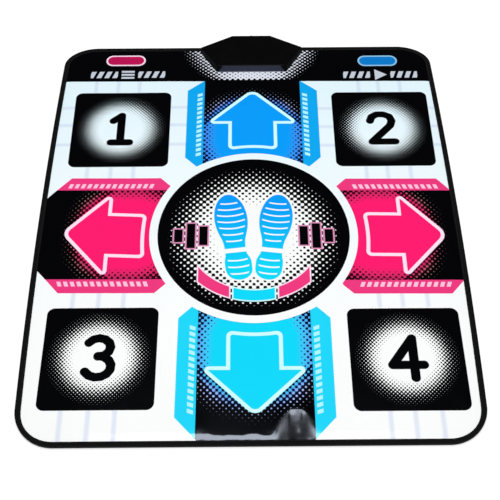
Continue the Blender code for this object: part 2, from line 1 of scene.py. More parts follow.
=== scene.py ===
"""Dresses the dance mat controller: printed cover, pads that sink into it, bound edge, control box and stage.

Lengths are in metres unless a comment says millimetres. The print is worked out in millimetres from its middle.
"""

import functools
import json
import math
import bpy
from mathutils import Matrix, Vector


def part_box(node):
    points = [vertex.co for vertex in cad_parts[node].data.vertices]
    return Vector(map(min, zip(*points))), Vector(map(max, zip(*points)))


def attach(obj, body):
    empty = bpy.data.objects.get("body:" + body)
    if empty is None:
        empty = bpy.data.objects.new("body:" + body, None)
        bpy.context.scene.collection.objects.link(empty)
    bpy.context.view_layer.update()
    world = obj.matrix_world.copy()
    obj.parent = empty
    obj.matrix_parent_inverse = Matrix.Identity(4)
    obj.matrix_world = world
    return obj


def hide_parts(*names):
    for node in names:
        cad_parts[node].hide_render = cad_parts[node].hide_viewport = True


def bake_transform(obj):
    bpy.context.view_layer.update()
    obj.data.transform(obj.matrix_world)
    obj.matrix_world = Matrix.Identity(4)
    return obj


bl_info = {
    "name": "Dance mat dressing",
    "version": (1, 0, 0),
    "blender": (4, 5, 0),
    "location": "3D View > Sidebar > Dance mat",
    "description": "Printed cover, pads, bound edge and control box of a dance mat controller",
    "category": "Object",
}

import bmesh
import bpy
import numpy as np
from bpy.props import FloatProperty, FloatVectorProperty, PointerProperty
from mathutils import Matrix, Vector

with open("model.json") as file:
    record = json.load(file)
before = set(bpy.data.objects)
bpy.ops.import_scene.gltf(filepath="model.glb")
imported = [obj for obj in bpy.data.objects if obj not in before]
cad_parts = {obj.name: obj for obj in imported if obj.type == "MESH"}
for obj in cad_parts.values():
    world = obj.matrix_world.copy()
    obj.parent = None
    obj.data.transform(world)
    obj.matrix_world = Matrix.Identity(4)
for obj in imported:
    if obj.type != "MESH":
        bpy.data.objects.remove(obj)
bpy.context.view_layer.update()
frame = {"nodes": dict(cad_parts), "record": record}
SLOT_OF = {entry["node"]: entry["material_slot"] for entry in frame["record"]["subparts"]}
MM = 0.001
TURN = 2 * math.pi

ARROWS = ("up", "down", "left", "right")
SQUARES = ("far_left", "far_right", "near_left", "near_right")
KEYS = ("menu", "play")
PADS = ARROWS + SQUARES + KEYS

# Outline of the mat, as its solids have it
HALF_WIDTH = 0.4075
HALF_LENGTH = 0.4705
WIDEST_Y = -0.050
SIDE_BULGE = 0.0086
FAR_CORNER = (0.070, 0.052)
NEAR_CORNER = (0.068, 0.068)
MAT_TOP = 0.008

# Thickness of the backing, the gap under the upper tape, and what is left free round the box and its front screws
BACKING = 0.0015
TAPE_GAP = 0.0003
BOX_CLEARANCE = 0.0005
SCREW_REACH = 0.006

# Faces: rows across a sloping strip, cells of the backing, and how finely the outline is stepped
SLOPE_STEPS = 5
BACKING_CELL = 0.012
OUTLINE_STEP = 0.006

# Floor: how far it reaches, its lines each way and its height, just under the mat
FLOOR_REACH = 9.0
FLOOR_LINES = 25
FLOOR_Z = -0.0004

# Half width, at some y, up to which the cover's grid stays square round the pads and keys
SQUARE_GRID = ((-0.466, 0.22), (-0.450, 0.30), (-0.425, 0.34), (-0.405, 0.380), (0.334, 0.380), (0.360, 0.327),
               (0.4445, 0.327), (0.466, 0.22))

# Control box in plan: its middle, and (half width, y) of its front, widest line and rear
BOX_X = 0.0085
BOX_PLAN = ((0.0755, 0.3958), (0.113, 0.4568), (0.0435, 0.4934))
(BOX_FRONT, BOX_FRONT_Y), (BOX_WIDE, BOX_WIDE_Y), _ = BOX_PLAN
BOX_LEAN = (BOX_WIDE - BOX_FRONT) / (BOX_WIDE_Y - BOX_FRONT_Y)

# Layout of the print in millimetres: its middle, and how it lies a little askew on the cover
PRINT_X_MM = 8.3
PRINT_Y_MM = -36.0
ASKEW_ACROSS = -0.0034
ASKEW_ALONG = 0.0061
DISC_RADIUS = 184.0
RING_RADIUS = 200.0
BAND_LINE = 402.5
EDGE_SOFTNESS = 0.7

# The cover's panels by row from the near side and by column, split along the print's middle and round its ring
TILE_REACH = 0.1635
TILES = np.array((
    ("near_left", "down", "down", "near_right"),
    ("left", "middle_near_left", "middle_near_right", "right"),
    ("left", "middle_far_left", "middle_far_right", "right"),
    ("far_left", "up", "up", "far_right"),
))
TILE_ORDER = ("far_left", "up", "far_right", "left", "right", "near_left", "down", "near_right", "middle_far_left",
              "middle_far_right", "middle_near_left", "middle_near_right")

# An arrow panel, in millimetres from the middle of the print: tip, slope and wings of its arrow, how its tail bows
# and its axis is turned, its column, its coloured bands with their slanted ends, and the row of dashes on them
LENGTHWAYS = {
    "tip": 379.4, "slope": 1.0, "tip_rounding": 19.3, "head": 280.5, "stem": 50.2, "tail": 214.5, "bow": 0.0023,
    "tail_rounding": 13.0, "turned": (0.0, 0.0), "shift": 0.0, "column": 101.5, "band": 137.5,
    "fade": (340.0, 397.0), "start": 0.46, "reach": 0.0085, "outer": ((375.0, 137.0), (404.5, 101.3)), "inner": 51.5,
    "dashes": (111.0, 280.0, 86.0),
}
SIDEWAYS = {
    "tip": 369.4, "slope": 1.11, "tip_rounding": 20.5, "head": 275.4, "stem": 51.8, "tail": 209.1, "bow": 0.0012,
    "tail_rounding": 12.0, "turned": (15.1, -0.0437), "shift": 0.0, "column": 105.0, "band": 135.5,
    "fade": (326.0, 382.0), "start": 0.50, "reach": 0.0090, "outer": ((361.0, 135.5), (386.0, 107.0)), "inner": 48.5,
    "dashes": (115.3, 281.0, 83.5),
}
PANELS = {
    "up": LENGTHWAYS,
    "down": {
        **LENGTHWAYS, "tip": 383.6, "slope": 1.04, "tip_rounding": 17.7, "head": 287.4, "tail": 219.5,
        "bow": 0.0021, "fade": (352.0, 412.0), "start": 0.52, "reach": 0.0080,
        "outer": ((384.0, 138.0), (424.0, 101.5)), "dashes": (111.0, 291.5, 86.0),
    },
    "left": SIDEWAYS,
    "right": {
        **SIDEWAYS, "tip": 372.9, "slope": 1.125, "tip_rounding": 22.8, "head": 279.7, "stem": 51.3, "tail": 215.5,
        "bow": 0.0015, "turned": (-3.4, 0.015), "shift": 2.3, "column": 105.5,
        "outer": ((364.5, 135.5), (389.0, 107.0)),
    },
}
PINKS = "pink side_pink pink_line pink_dash dull_pink pale_pink ground_pink"
PANEL_INKS = {
    "up": "blue band_blue blue_line blue_dash dull_blue pale_blue ground_blue",
    "down": "cyan band_cyan blue_line blue_dash dull_cyan pale_cyan ground_blue",
    "left": PINKS, "right": PINKS,
}
DASHES = 14
DASH_LEAN = 0.35
WING_ROUNDING = 8.0
STROKE = 7.0

# Printed squares: middle on the mat in millimetres
SQUARE_MIDDLES = {
    "far_left": (-263.5, 232.5), "far_right": (277.7, 230.0),
    "near_left": (-266.5, -303.5), "near_right": (276.0, -309.0),
}
SQUARE_HALF = (101.0, 102.0)
SQUARE_ROUNDING = 14.0

# Keys by their square: name, middles of the key and of its sign in millimetres, and inks
KEY_PRINTS = {
    "far_left": ("menu", (-265.5, 431.0), (-258.5, 388.5), "key_pink", "pink_line"),
    "far_right": ("play", (283.5, 426.0), (286.5, 384.0), "key_blue", "key_blue_line"),
}


def bow(middle, size, first, last, steps):
    """Points along a part of an ellipse, between two angles in degrees."""
    turns = [math.radians(first + (last - first) * i / steps) for i in range(steps + 1)]
    return [(middle[0] + size[0] * math.cos(turn), middle[1] + size[1] * math.sin(turn)) for turn in turns]


# Strokes of the figures on the squares, in millimetres from the square's middle
FIGURES = {
    "far_left": [[(-17, 22), (0, 37), (0, -37)], [(-19, -37), (19, -37)]],
    "far_right": [[(-24, 20), (-20, 31), (-9, 38), (5, 38), (17, 32), (21, 20), (17, 7), (-23, -37), (24, -37)]],
    "near_left": [bow((-2, 20.5), (21, 18.5), 150, -90, 8), bow((-2, -18.0), (24, 21.0), 90, -152, 9)],
    "near_right": [[(11, -39), (11, 39), (-27, -14), (28, -14)]],
}
FIGURE_STROKE = 8.4

# Spacing of the halftone dots across the mat, in millimetres
DOTS_DISC = 13.7
DOTS_PANEL = 11.0
DOTS_SQUARE = 7.1
DOTS_HALO = 11.7

# Where the contact tracks show through the cover, in millimetres on the mat: x, and y at the left and right
TRACKS_ACROSS = (-324.0, -277.0, -231.5, 236.5, 279.0, 325.0)
TRACKS_ALONG = ((292.0, 286.0), (243.0, 235.0), (190.0, 184.0))

# Camera that was fitted to the photograph: azimuth, elevation and roll in degrees
CAMERA_ANGLES = (-0.42157, 55.16145, -0.08708)
CAMERA_DISTANCE = 1.86658
CAMERA_TARGET = (0.001082, -0.069356, 0.0)
CAMERA_LENS = 70.5772


def join(tree, value, socket):
    """Feeds a socket from a Number or another socket, or sets it; a colour gets its alpha."""
    if isinstance(value, Number):
        value = value.source
    if isinstance(value, bpy.types.NodeSocket):
        tree.links.new(value, socket)
    else:
        socket.default_value = (*tuple(value)[:3], 1.0) if socket.type == "RGBA" else value


def add_node(tree, kind, *inputs, **settings):
    """Adds a shader node, sets its properties and named inputs, and feeds its first inputs in order."""
    node = tree.nodes.new("ShaderNode" + kind)
    for name, value in settings.items():
        if name in node.inputs:
            join(tree, value, node.inputs[name])
        else:
            setattr(node, name, value)
    for socket, value in zip(node.inputs, inputs):
        join(tree, value, socket)
    return node


def adds(operation, *fixed):
    """A method of Number that adds one Math node."""
    return lambda self, *others: self.math(operation, *fixed, *others)


class Number:
    """A number that shader nodes work out at each point of a surface; the usual operators add Math nodes."""

    __add__, __sub__, __mul__, __truediv__ = map(adds, ("ADD", "SUBTRACT", "MULTIPLY", "DIVIDE"))
    __abs__, least, most, fraction = map(adds, ("ABSOLUTE", "MINIMUM", "MAXIMUM", "FRACT"))
    __rsub__, __neg__ = adds("MULTIPLY_ADD", -1.0), adds("MULTIPLY", -1.0)

    def __init__(self, tree, source):
        self.tree = tree
        self.source = source

    def math(self, operation, *others, clamp=False):
        return Number(self.tree, add_node(
            self.tree, "Math", self, *others, operation=operation, use_clamp=clamp).outputs[0])

    def scaled(self, factor, offset, clamp=False):
        return self.math("MULTIPLY_ADD", factor, offset, clamp=clamp)

    def ramp(self, start, end):
        """0 before start, 1 past end and straight between them."""
        return self.scaled(1.0 / (end - start), -start / (end - start), clamp=True)

    def repeated(self, pitch):
        """Distance to the middle of each stretch of a pitch."""
        return abs((self * (1.0 / pitch)).fraction().scaled(pitch, -pitch / 2))


def nearest(distances):
    """The least of several Numbers."""
    return functools.reduce(Number.least, distances)


def inside(distance, softness=EDGE_SOFTNESS):
    """1 where a distance to an edge is negative, with a soft edge."""
    return distance.scaled(-1.0 / softness, 0.5, clamp=True)


def times(colour, share):
    """A colour with each of its parts taken times a share."""
    return tuple(part * share for part in colour)


class Finish:
    """A node material in the making: its shader, and the place of each point on the mat at rest, in metres."""

    def __init__(self, name):
        self.material = bpy.data.materials.new(name)
        self.material.use_nodes = True
        self.tree = self.material.node_tree
        self.shader = self.tree.nodes["Principled BSDF"]
        self.metres = self.node("TexCoord").outputs["Object"]

    def node(self, kind, *inputs, **settings):
        return add_node(self.tree, kind, *inputs, **settings)

    def vector(self, operation, *values, **settings):
        """A vector that a Vector Math node works out."""
        return self.node("VectorMath", *values, operation=operation, **settings).outputs["Vector"]

    def measure(self, operation, *values):
        """A Number that a Vector Math node works out."""
        return Number(self.tree, self.node("VectorMath", *values, operation=operation).outputs["Value"])

    def apart(self, place):
        """The three coordinates of a place."""
        return [Number(self.tree, output) for output in self.node("SeparateXYZ", place).outputs]

    def point(self, x, y):
        """A flat place from two Numbers."""
        return self.node("CombineXYZ", x, y).outputs["Vector"]

    def mixed(self, factor, first, second):
        """Colour between two colours."""
        node = self.node("Mix", factor, data_type="RGBA")
        for socket, colour in zip((s for s in node.inputs if s.type == "RGBA"), (first, second)):
            join(self.tree, colour, socket)
        return next(socket for socket in node.outputs if socket.type == "RGBA")

    def noise(self, scale, detail=2.0, place=None):
        """Noise at a scale in repeats per metre."""
        node = self.node("TexNoise", Vector=place or self.metres, Scale=scale, Detail=detail)
        return Number(self.tree, node.outputs["Fac"])

    def cells(self, scale, **settings):
        """Distance within irregular cells, at a scale in repeats per metre."""
        node = self.node("TexVoronoi", Vector=self.metres, Scale=scale, **settings)
        return Number(self.tree, node.outputs["Distance"])

    def feed(self, **values):
        """Feeds inputs of the shader, by their names, and returns the material."""
        for name, value in values.items():
            join(self.tree, value, self.shader.inputs[name])
        return self.material

    def finished(self, colour, roughness, height, depth, **others):
        """Feeds the shader, with a relief from a height that is 0 to 1 over a depth in metres."""
        normal = self.node("Bump", Strength=1.0, Distance=depth, Height=height).outputs["Normal"]
        return self.feed(**{"Base Color": colour, "Roughness": roughness, "Normal": normal, **others})


class Print(Finish):
    """A printed surface in the making: where a point lies on the print, and the colour laid down so far."""

    def __init__(self, name, inks, vinyl):
        super().__init__(name)
        self.inks = inks
        self.vinyl = vinyl
        self.mat_x, self.mat_y = [value * (1 / MM) for value in self.apart(self.metres)[:2]]
        x, y = self.mat_x - PRINT_X_MM, self.mat_y - PRINT_Y_MM
        self.x, self.y = y.scaled(ASKEW_ACROSS, x), x.scaled(ASKEW_ALONG, y)
        self.mat_place = self.point(self.mat_x, self.mat_y)
        self.radius = self.measure("LENGTH", self.point(self.x, self.y))
        # The white field turns darker and bluer towards the far end: painted shade of the light falling off away from
        # the player.
        self.white = self.mixed(self.mat_y.ramp(330.0, -230.0), inks.far_white_painted_shade, inks.near_white)
        self.colour = self.white

    def lay(self, ink, mask):
        """Prints an ink where the mask is 1."""
        self.colour = self.mixed(mask, self.colour, ink)

    def box(self, place, middle, half, rounding):
        """Distance to a rounded rectangle: the length of what a place lies beyond its shrunken half size."""
        moved = self.vector("ABSOLUTE", self.vector("SUBTRACT", place, (*middle, 0.0)))
        beyond = self.vector("SUBTRACT", moved, (half[0] - rounding, half[1] - rounding, 0.0))
        return self.measure("LENGTH", self.vector("MAXIMUM", beyond, (0.0, 0.0, 0.0))) - rounding

    def segment(self, place, start, end):
        """Distance to a straight line between two places."""
        along = (end[0] - start[0], end[1] - start[1], 0.0)
        moved = self.vector("SUBTRACT", place, (*start, 0.0))
        share = self.measure("DOT_PRODUCT", moved, along).scaled(1.0 / (along[0] ** 2 + along[1] ** 2), 0.0, clamp=True)
        return self.measure("DISTANCE", moved, self.vector("SCALE", along, Scale=share))

    def stroke(self, place, strokes):
        """Distance to the nearest of several broken lines."""
        return nearest(self.segment(place, *ends) for line in strokes for ends in zip(line, line[1:]))

    def dots(self, pitch, tone, x=None, y=None, softness=EDGE_SOFTNESS):
        """Halftone: light dots that grow with the tone, meet as a checker at 0.5 and leave shrinking dark dots.

        A point is light where cos(2 pi x / pitch) * cos(2 pi y / pitch) is over a bar that falls with the tone.
        """
        turns = TURN / pitch
        wave = ((x or self.x) * turns).math("COSINE") * ((y or self.y) * turns).math("COSINE")
        sharpness = pitch / (TURN * softness)
        margin = 0.6 / sharpness
        bar = tone.scaled(-(2.0 + 2.0 * margin), 1.0 + margin)
        return (wave - bar).scaled(sharpness, 0.5, clamp=True)

    def printed(self):
        """Gives the vinyl its gloss, its fine grain and faint scuffs, and returns the material."""
        mottled = self.vector("SCALE", self.colour, Scale=self.noise(5.0).scaled(0.05, 0.975))
        rough = self.noise(14.0, 3.0).scaled(0.06, self.vinyl.vinyl_roughness - 0.03)
        height = self.noise(1100.0, 1.0) * 0.05 + self.noise(38.0) * 0.95
        return self.finished(mottled, rough, height, self.vinyl.crumple_depth, **{"Specular Tint": (0.78, 0.85, 1.0)})


def lay_tracks(sheet):
    """Contact tracks that show faintly through the white cover: soft lines along and across."""
    side = sheet.mat_x.math("GREATER_THAN", 0.0)
    lines = [abs(sheet.mat_x - place) for place in TRACKS_ACROSS]
    lines += [abs(sheet.mat_y - side.scaled(right - left, left)) for left, right in TRACKS_ALONG]
    sheet.lay(sheet.inks.track, inside(nearest(lines) - 4.0, 4.0) * 0.55)


def lay_band(sheet):
    """Black band along the far edge."""
    sheet.lay(sheet.inks.black, inside(BAND_LINE - sheet.y))


def panel_tone(along, across, shape):
    """How much of an arrow's column is coloured, how dull its ink is there and how pale.

    Dark dots line the sides of the column, the more so by the ring. Past the arrow's slopes lie an even strip and
    then light dots that shrink outwards.
    """
    slope, tip = shape["slope"], shape["tip"]
    steep = math.hypot(1.0, slope)
    past = (across + along * slope).scaled(1.0 / steep, -tip * slope / steep)
    by_ring = along.ramp(222.0, 172.0)
    depth = ((shape["column"] - across) / by_ring.scaled(22.0, 28.0)).least(1.0).most(0.0)
    low = by_ring.scaled(-0.30, 0.48)
    side = depth * (1.0 - low) + low
    by_tip = along.ramp(tip - 45.0, tip + 5.0)
    fall = past.scaled(-shape["reach"], shape["start"]).most(past.scaled(-0.07, 0.58)).least(1.0).most(0.0)
    strip = abs(past - 11.0).scaled(-0.25 / 6.0, 0.25).most(0.0) * along.ramp(tip - 25.0, shape["head"] + 15.0)
    tone = side * (fall * by_tip.scaled(-0.65, 1.0) + strip) * along.ramp(*reversed(shape["fade"]))
    return tone, (1.0 - depth).most(past.ramp(0.0, 8.0)), past.ramp(8.0, 24.0).most(by_tip)


def arrow_distance(sheet, along, across, shape):
    """Distance to the arrow's outline, less than 0 inside it: the nearer of its head and its stem.

    The head is a triangle drawn in by the rounding of its wings, with an arc of a larger radius at its tip. The stem
    is a rounded bar in places that bow with the square of the distance across.
    """
    slope = shape["slope"]
    steep = math.hypot(1.0, slope)
    head = shape["head"] + WING_ROUNDING
    tip = shape["tip"] - WING_ROUNDING * steep / slope
    centre = shape["tip"] - shape["tip_rounding"] * steep / slope
    spare = shape["tip_rounding"] - WING_ROUNDING
    turns = np.linspace(0.0, math.atan2(1.0, slope), 3).tolist()
    line = [(spare * math.sin(turn), centre + spare * math.cos(turn)) for turn in turns]
    line += [(slope * (tip - head), head), (0.0, head)]
    edges = sheet.stroke(sheet.point(across, along), [line])
    beyond = (across + along * slope - tip * slope).most(head - along).most(along - (centre + spare))
    tail, top = shape["tail"], head + 14.0
    bowed = sheet.point(across, (across * across).scaled(shape["bow"], along))
    stem = sheet.box(bowed, (0.0, (tail + top) / 2), (shape["stem"], (top - tail) / 2), shape["tail_rounding"])
    return (edges * beyond.math("GREATER_THAN", 0.0) - WING_ROUNDING).least(stem)


def lay_panel(sheet, name):
    """An arrow panel: coloured bands, halftone column, and the outlined arrow with a row of dashes beside it."""
    shape = PANELS[name]
    ink, band, line, dashes, dull_ink, pale_ink, ground = (
        getattr(sheet.inks, each) for each in PANEL_INKS[name].split())
    along, across = (sheet.y, sheet.x) if name in ("up", "down") else (sheet.x, sheet.y)
    if name in ("down", "left"):
        along = -along
    signed = across + shape["shift"]
    across = abs(signed)
    (first_along, first_across), (last_along, last_across) = shape["outer"]
    lean = (last_along - first_along) / (first_across - last_across)
    steep = math.hypot(1.0, lean)
    outer = (across * lean + along).scaled(1.0 / steep, -(first_along + lean * first_across) / steep)
    inner = (across - along).scaled(0.7071, 0.7071 * shape["inner"])
    limit = outer.most(RING_RADIUS - sheet.radius).most(inner)
    sheet.lay(band, inside((across - shape["band"]).most(limit)))
    column = inside((across - shape["column"]).most(limit))
    tone, dull, pale = panel_tone(along, across, shape)
    sheet.lay(sheet.inks.black, column)
    sheet.lay(ground, column * tone.scaled(2.3, -0.42, clamp=True))
    shade = sheet.mixed(pale, sheet.mixed(dull, ink, dull_ink), pale_ink)
    sheet.lay(shade, column * sheet.dots(DOTS_PANEL, tone, sheet.x, sheet.y.scaled(0.948, 2.65)))
    offset, turn = shape["turned"]
    arrow = arrow_distance(sheet, along, abs(along.scaled(turn, signed + offset)), shape)
    sheet.lay(line, inside(arrow))
    sheet.lay(ink, inside(arrow + STROKE))
    row, middle, half = shape["dashes"]
    pitch = 2.0 * half / (DASHES - 0.4)
    slanted = across.scaled(DASH_LEAN, -middle - DASH_LEAN * row) + along
    dash = (slanted.repeated(pitch) - 0.3 * pitch).most(abs(across - row) - 5.2)
    sheet.lay(dashes, inside(dash.most(abs(slanted) - DASHES * pitch / 2)))


def lay_rim(sheet):
    """The black disc in the middle."""
    sheet.lay(sheet.inks.black, inside(sheet.radius - DISC_RADIUS))


def lay_disc(sheet):
    """The disc's halftone, which grows to a white core a little below its middle."""
    tone = sheet.measure("LENGTH", sheet.point(sheet.x, sheet.y + 8.0)).ramp(172.0, 66.0)
    sheet.lay(sheet.inks.disc_white, inside(sheet.radius - (DISC_RADIUS - 2.0)) * sheet.dots(DOTS_DISC, tone))


def lay_soles(sheet):
    """Two shoe soles side by side, where the player stands: a tread, a cut at the arch and a heel each."""
    inks = sheet.inks
    turn = math.radians(-7.0)
    moved = sheet.vector("SUBTRACT", sheet.point(abs(sheet.x), sheet.y), (37.0, -4.0, 0.0))
    u = sheet.measure("DOT_PRODUCT", moved, (math.cos(turn), math.sin(turn), 0.0))
    v = sheet.measure("DOT_PRODUCT", moved, (-math.sin(turn), math.cos(turn), 0.0))
    local = sheet.point(u, v)
    from_ball = sheet.vector("SUBTRACT", local, (2.0, 38.0, 0.0))
    ball = sheet.measure("LENGTH", sheet.vector("DIVIDE", from_ball, (32.0, 60.0, 1.0))).scaled(32.0, -32.0)
    waist = sheet.box(local, (2.0, -30.0), (20.0, 60.0), 18.0)
    heel = sheet.box(local, (0.0, -72.0), (25.0, 31.0), 24.0)
    whole = ball.math("SMOOTH_MIN", waist, 14.0).math("SMOOTH_MIN", heel, 10.0)
    groove = ((u * u).scaled(-0.006, 0.0) + v).repeated(15.0) - 5.9
    from_arch = abs(v + 36.0)
    sheet.lay(inks.disc_white, inside(whole - 3.0))
    sheet.lay(sheet.mixed(v.ramp(70.0, -80.0), inks.blue, inks.cyan), inside(whole.most(5.0 - from_arch)))
    sheet.lay(inks.disc_white, inside((-groove).most(whole + 5.5)) * inside(14.0 - from_arch))


def lay_level_bars(sheet):
    """Rows of upright bars at both sides, of different heights, black with a pink line round each."""
    out = abs(sheet.x)
    start, step = 84.0, 24.0
    index = ((out - start) * (1.0 / step)).math("FLOOR")
    local = out - index.scaled(step, start + step / 2)
    height = (index * 2.1).math("SINE").scaled(8.0, 22.0)
    bar = (abs(local) - 8.0).most(abs(sheet.y + 6.0) - height)
    shown = inside(abs(out - (start + 1.5 * step)) - 1.5 * step)
    sheet.lay(sheet.inks.bar_line, inside(bar - 3.0) * shown)
    sheet.lay(sheet.inks.black, inside(bar) * shown)


def lay_arcs(sheet):
    """Three arc blocks under the soles: pink at the sides and cyan in the middle, each with a light line."""
    inks = sheet.inks
    wide = abs(sheet.radius - 141.0) - 11.0
    out = abs(sheet.x)
    below = sheet.y.math("LESS_THAN", 0.0)
    sides = wide.most(46.0 - out).most(out - 104.0)
    for block, ink, line in (
            (sides, inks.side_pink, inks.pink_line), (wide.most(out - 38.0), inks.cyan, inks.blue_line)):
        sheet.lay(line, inside(block - 2.6) * below)
        sheet.lay(ink, inside(block) * below)


def lay_square(sheet, name):
    """A black rounded square."""
    square = sheet.box(sheet.mat_place, SQUARE_MIDDLES[name], SQUARE_HALF, SQUARE_ROUNDING)
    sheet.lay(sheet.inks.black, inside(square))


def lay_glow(sheet, name):
    """The square's white glow that breaks up into dots, and a figure on it."""
    local = sheet.vector("SUBTRACT", sheet.mat_place, (*SQUARE_MIDDLES[name], 0.0))
    out = sheet.measure("LENGTH", local)
    tone = out.ramp(85.0, 42.0).most(out.ramp(97.0, 70.0) * 0.21)
    # The glow takes the white field's colour, with its painted shade towards the far end.
    sheet.lay(sheet.white, sheet.dots(DOTS_SQUARE, tone, sheet.x, sheet.y * 0.947, softness=0.35))
    sheet.lay(sheet.inks.black, inside(sheet.stroke(local, FIGURES[name]) - FIGURE_STROKE))


def lay_key(sheet, square):
    """A small key: a rounded bar in its ink with a light line round it."""
    _, middle, _, ink, line = KEY_PRINTS[square]
    key = sheet.box(sheet.mat_place, middle, (43.0, 16.0), 15.9)
    sheet.lay(getattr(sheet.inks, line), inside(key))
    sheet.lay(getattr(sheet.inks, ink), inside(key + 3.6))


def lay_key_mark(sheet, square):
    """Sign under a key: three bars, or a triangle that points to the right, between slanted stripes."""
    key, _, middle, _, _ = KEY_PRINTS[square]
    x, y = sheet.mat_x - middle[0], sheet.mat_y - middle[1]
    out = abs(x)
    stripes = ((x + y * -0.35).repeated(17.0) - 5.0).most(abs(y) - 9.5).most(abs(out - 51.0) - 29.0)
    if key == "play":
        sign = (x.scaled(0.62, -8.6) + abs(y)).most(-x - 12.0)
    else:
        sign = ((y + 4.5).repeated(9.0) - 2.6).most(abs(y) - 12.5).most(out - 14.0)
    sheet.lay(sheet.inks.mark, inside(stripes.least(sign)))


def lay_halo(sheet):
    """White dots on black at both sides of the control box: their tone falls outwards from its slanted sides."""
    out, y = abs(sheet.mat_x - BOX_X / MM), sheet.mat_y
    inner = y.scaled(BOX_LEAN, (BOX_FRONT - BOX_FRONT_Y * BOX_LEAN) / MM)
    up = y - 416.0
    outer = (up * up).scaled(-0.00786, 139.0) + up * 0.639
    share = ((out - inner) / (outer - inner)).most(0.0)
    middle = (out * out).scaled(-0.27 / 70.0**2, 0.27).most(0.0)
    tone = (share.scaled(-0.54, 0.54) + middle) * y.ramp(362.0, 378.0)
    dots = sheet.dots(DOTS_HALO, tone.most(0.0), sheet.mat_x + 3.0, y.scaled(1.165, -1.75))
    sheet.lay(sheet.inks.halo, dots * inside(370.5 - y))


def print_materials(inks, vinyl):
    """One printed material for each part of the cover."""
    made = {}

    def make(name, *steps):
        sheet = Print("print_" + name, inks, vinyl)
        for step, *values in steps:
            step(sheet, *values)
        made[name] = sheet.printed()

    for name in ARROWS:
        tracks = [(lay_tracks,)] if name != "down" else []
        far = [(lay_band,), (lay_halo,)] if name == "up" else []
        make(name, *tracks, (lay_panel, name), (lay_rim,), *far)
    make("middle", (lay_rim,), (lay_disc,), (lay_level_bars,), (lay_arcs,), (lay_soles,))
    for name in SQUARES:
        key = [(lay_band,), (lay_key, name)] if name in KEY_PRINTS else []
        if key:
            make(KEY_PRINTS[name][0], *key)
            key.append((lay_key_mark, name))
        make(name, (lay_tracks,), (lay_square, name), *key)
        make("glow_" + name, (lay_square, name), (lay_glow, name))
    return made


def smooth(value):
    """0 to 1 with level ends: 3 t^2 - 2 t^3."""
    value = np.clip(value, 0.0, 1.0)
    return value * value * (3.0 - 2.0 * value)


def wave(turns):
    """Sine of a number of turns."""
    return np.sin(TURN * turns)


def bell(x, middle, reach):
    """1 at a middle, falling to both sides: e^-((x - middle) / reach)^2."""
    return np.exp(-(((x - middle) / reach) ** 2))


def there_and_back(out, start, climb, fall):
    """0 before a start, 1 after a smooth climb, and back to 0 after a smooth fall."""
    return smooth((out - start) / climb) * (1.0 - smooth((out - start - climb) / fall))


def box_half(y):
    """Half width of the control box in plan at a y, 0 outside it."""
    widths, places = zip(*BOX_PLAN)
    return np.interp(y, places, widths, left=0.0, right=0.0)


def bulge(y):
    """How far the outline draws in from its widest line at a y: b ((y - widest) / half length)^2."""
    return SIDE_BULGE * ((y - WIDEST_Y) / HALF_LENGTH) ** 2


def to_outline(x, y, inset):
    """Places in a rectangle carried to the mat's outline: its corners are pulled in to ellipses and its sides swell.

    In a corner, u and v run from 0 to 1 and become u sqrt(1 - v^2 / 2) and v sqrt(1 - u^2 / 2). The swelling
    grows evenly from the square grid round the pads to the edge.
    """
    wide, long = HALF_WIDTH - inset, HALF_LENGTH - inset
    new_x, new_y, edge_x = np.abs(x), y, wide
    for end, size in ((1.0, FAR_CORNER), (-1.0, NEAR_CORNER)):
        size_x, size_y = np.array(size) - inset
        u = np.clip((np.abs(x) - (wide - size_x)) / size_x, 0.0, 1.0)
        v = np.clip((end * y - (long - size_y)) / size_y, 0.0, 1.0)
        corner = (u > 0) & (v > 0)
        new_x = np.where(corner, wide - size_x + size_x * u * np.sqrt(1 - v * v / 2), new_x)
        new_y = np.where(corner, end * (long - size_y + size_y * v * np.sqrt(1 - u * u / 2)), new_y)
        rise = np.clip((end * new_y - (long - size_y)) / size_y, 0.0, 1.0)
        edge_x = edge_x - size_x * (1.0 - np.sqrt(1.0 - rise * rise))
    start = np.interp(new_y, *zip(*SQUARE_GRID))
    new_x = new_x - bulge(new_y) * np.clip((new_x - start) / (edge_x - start), 0.0, 1.0)
    return np.where(x < 0, -new_x, new_x), new_y


def edge_distance(x, y):
    """Distance of a place inside the mat to its outline, taken as a rectangle with round corners."""
    rounding = 0.060
    beyond_x = np.abs(x) - (HALF_WIDTH - rounding) + bulge(y)
    beyond_y = np.abs(y) - (HALF_LENGTH - rounding)
    outside = np.hypot(np.maximum(beyond_x, 0.0), np.maximum(beyond_y, 0.0))
    return rounding - outside - np.minimum(np.maximum(beyond_x, beyond_y), 0.0)


def box_distance(x, y):
    """Rough distance of a place on the mat to the control box's plan."""
    side = np.abs(x - BOX_X) - BOX_FRONT - np.maximum(y - BOX_FRONT_Y, 0.0) * BOX_LEAN
    return np.hypot(np.maximum(side / math.hypot(1.0, BOX_LEAN), 0.0), np.maximum(BOX_FRONT_Y - y, 0.0))


def ridge(x, y, start, end, height, width):
    """A fold: a bell across a line from start to end that rises from 0 at its ends."""
    x, y, along = x - start[0], y - start[1], np.subtract(end, start)
    share = (x * along[0] + y * along[1]) / (along @ along)
    held = np.clip(share, 0.0, 1.0)
    off = np.hypot(x - held * along[0], y - held * along[1])
    return height * bell(off, 0.0, width) * np.sin(np.pi * np.clip(share, 0.02, 0.98)) ** 0.7


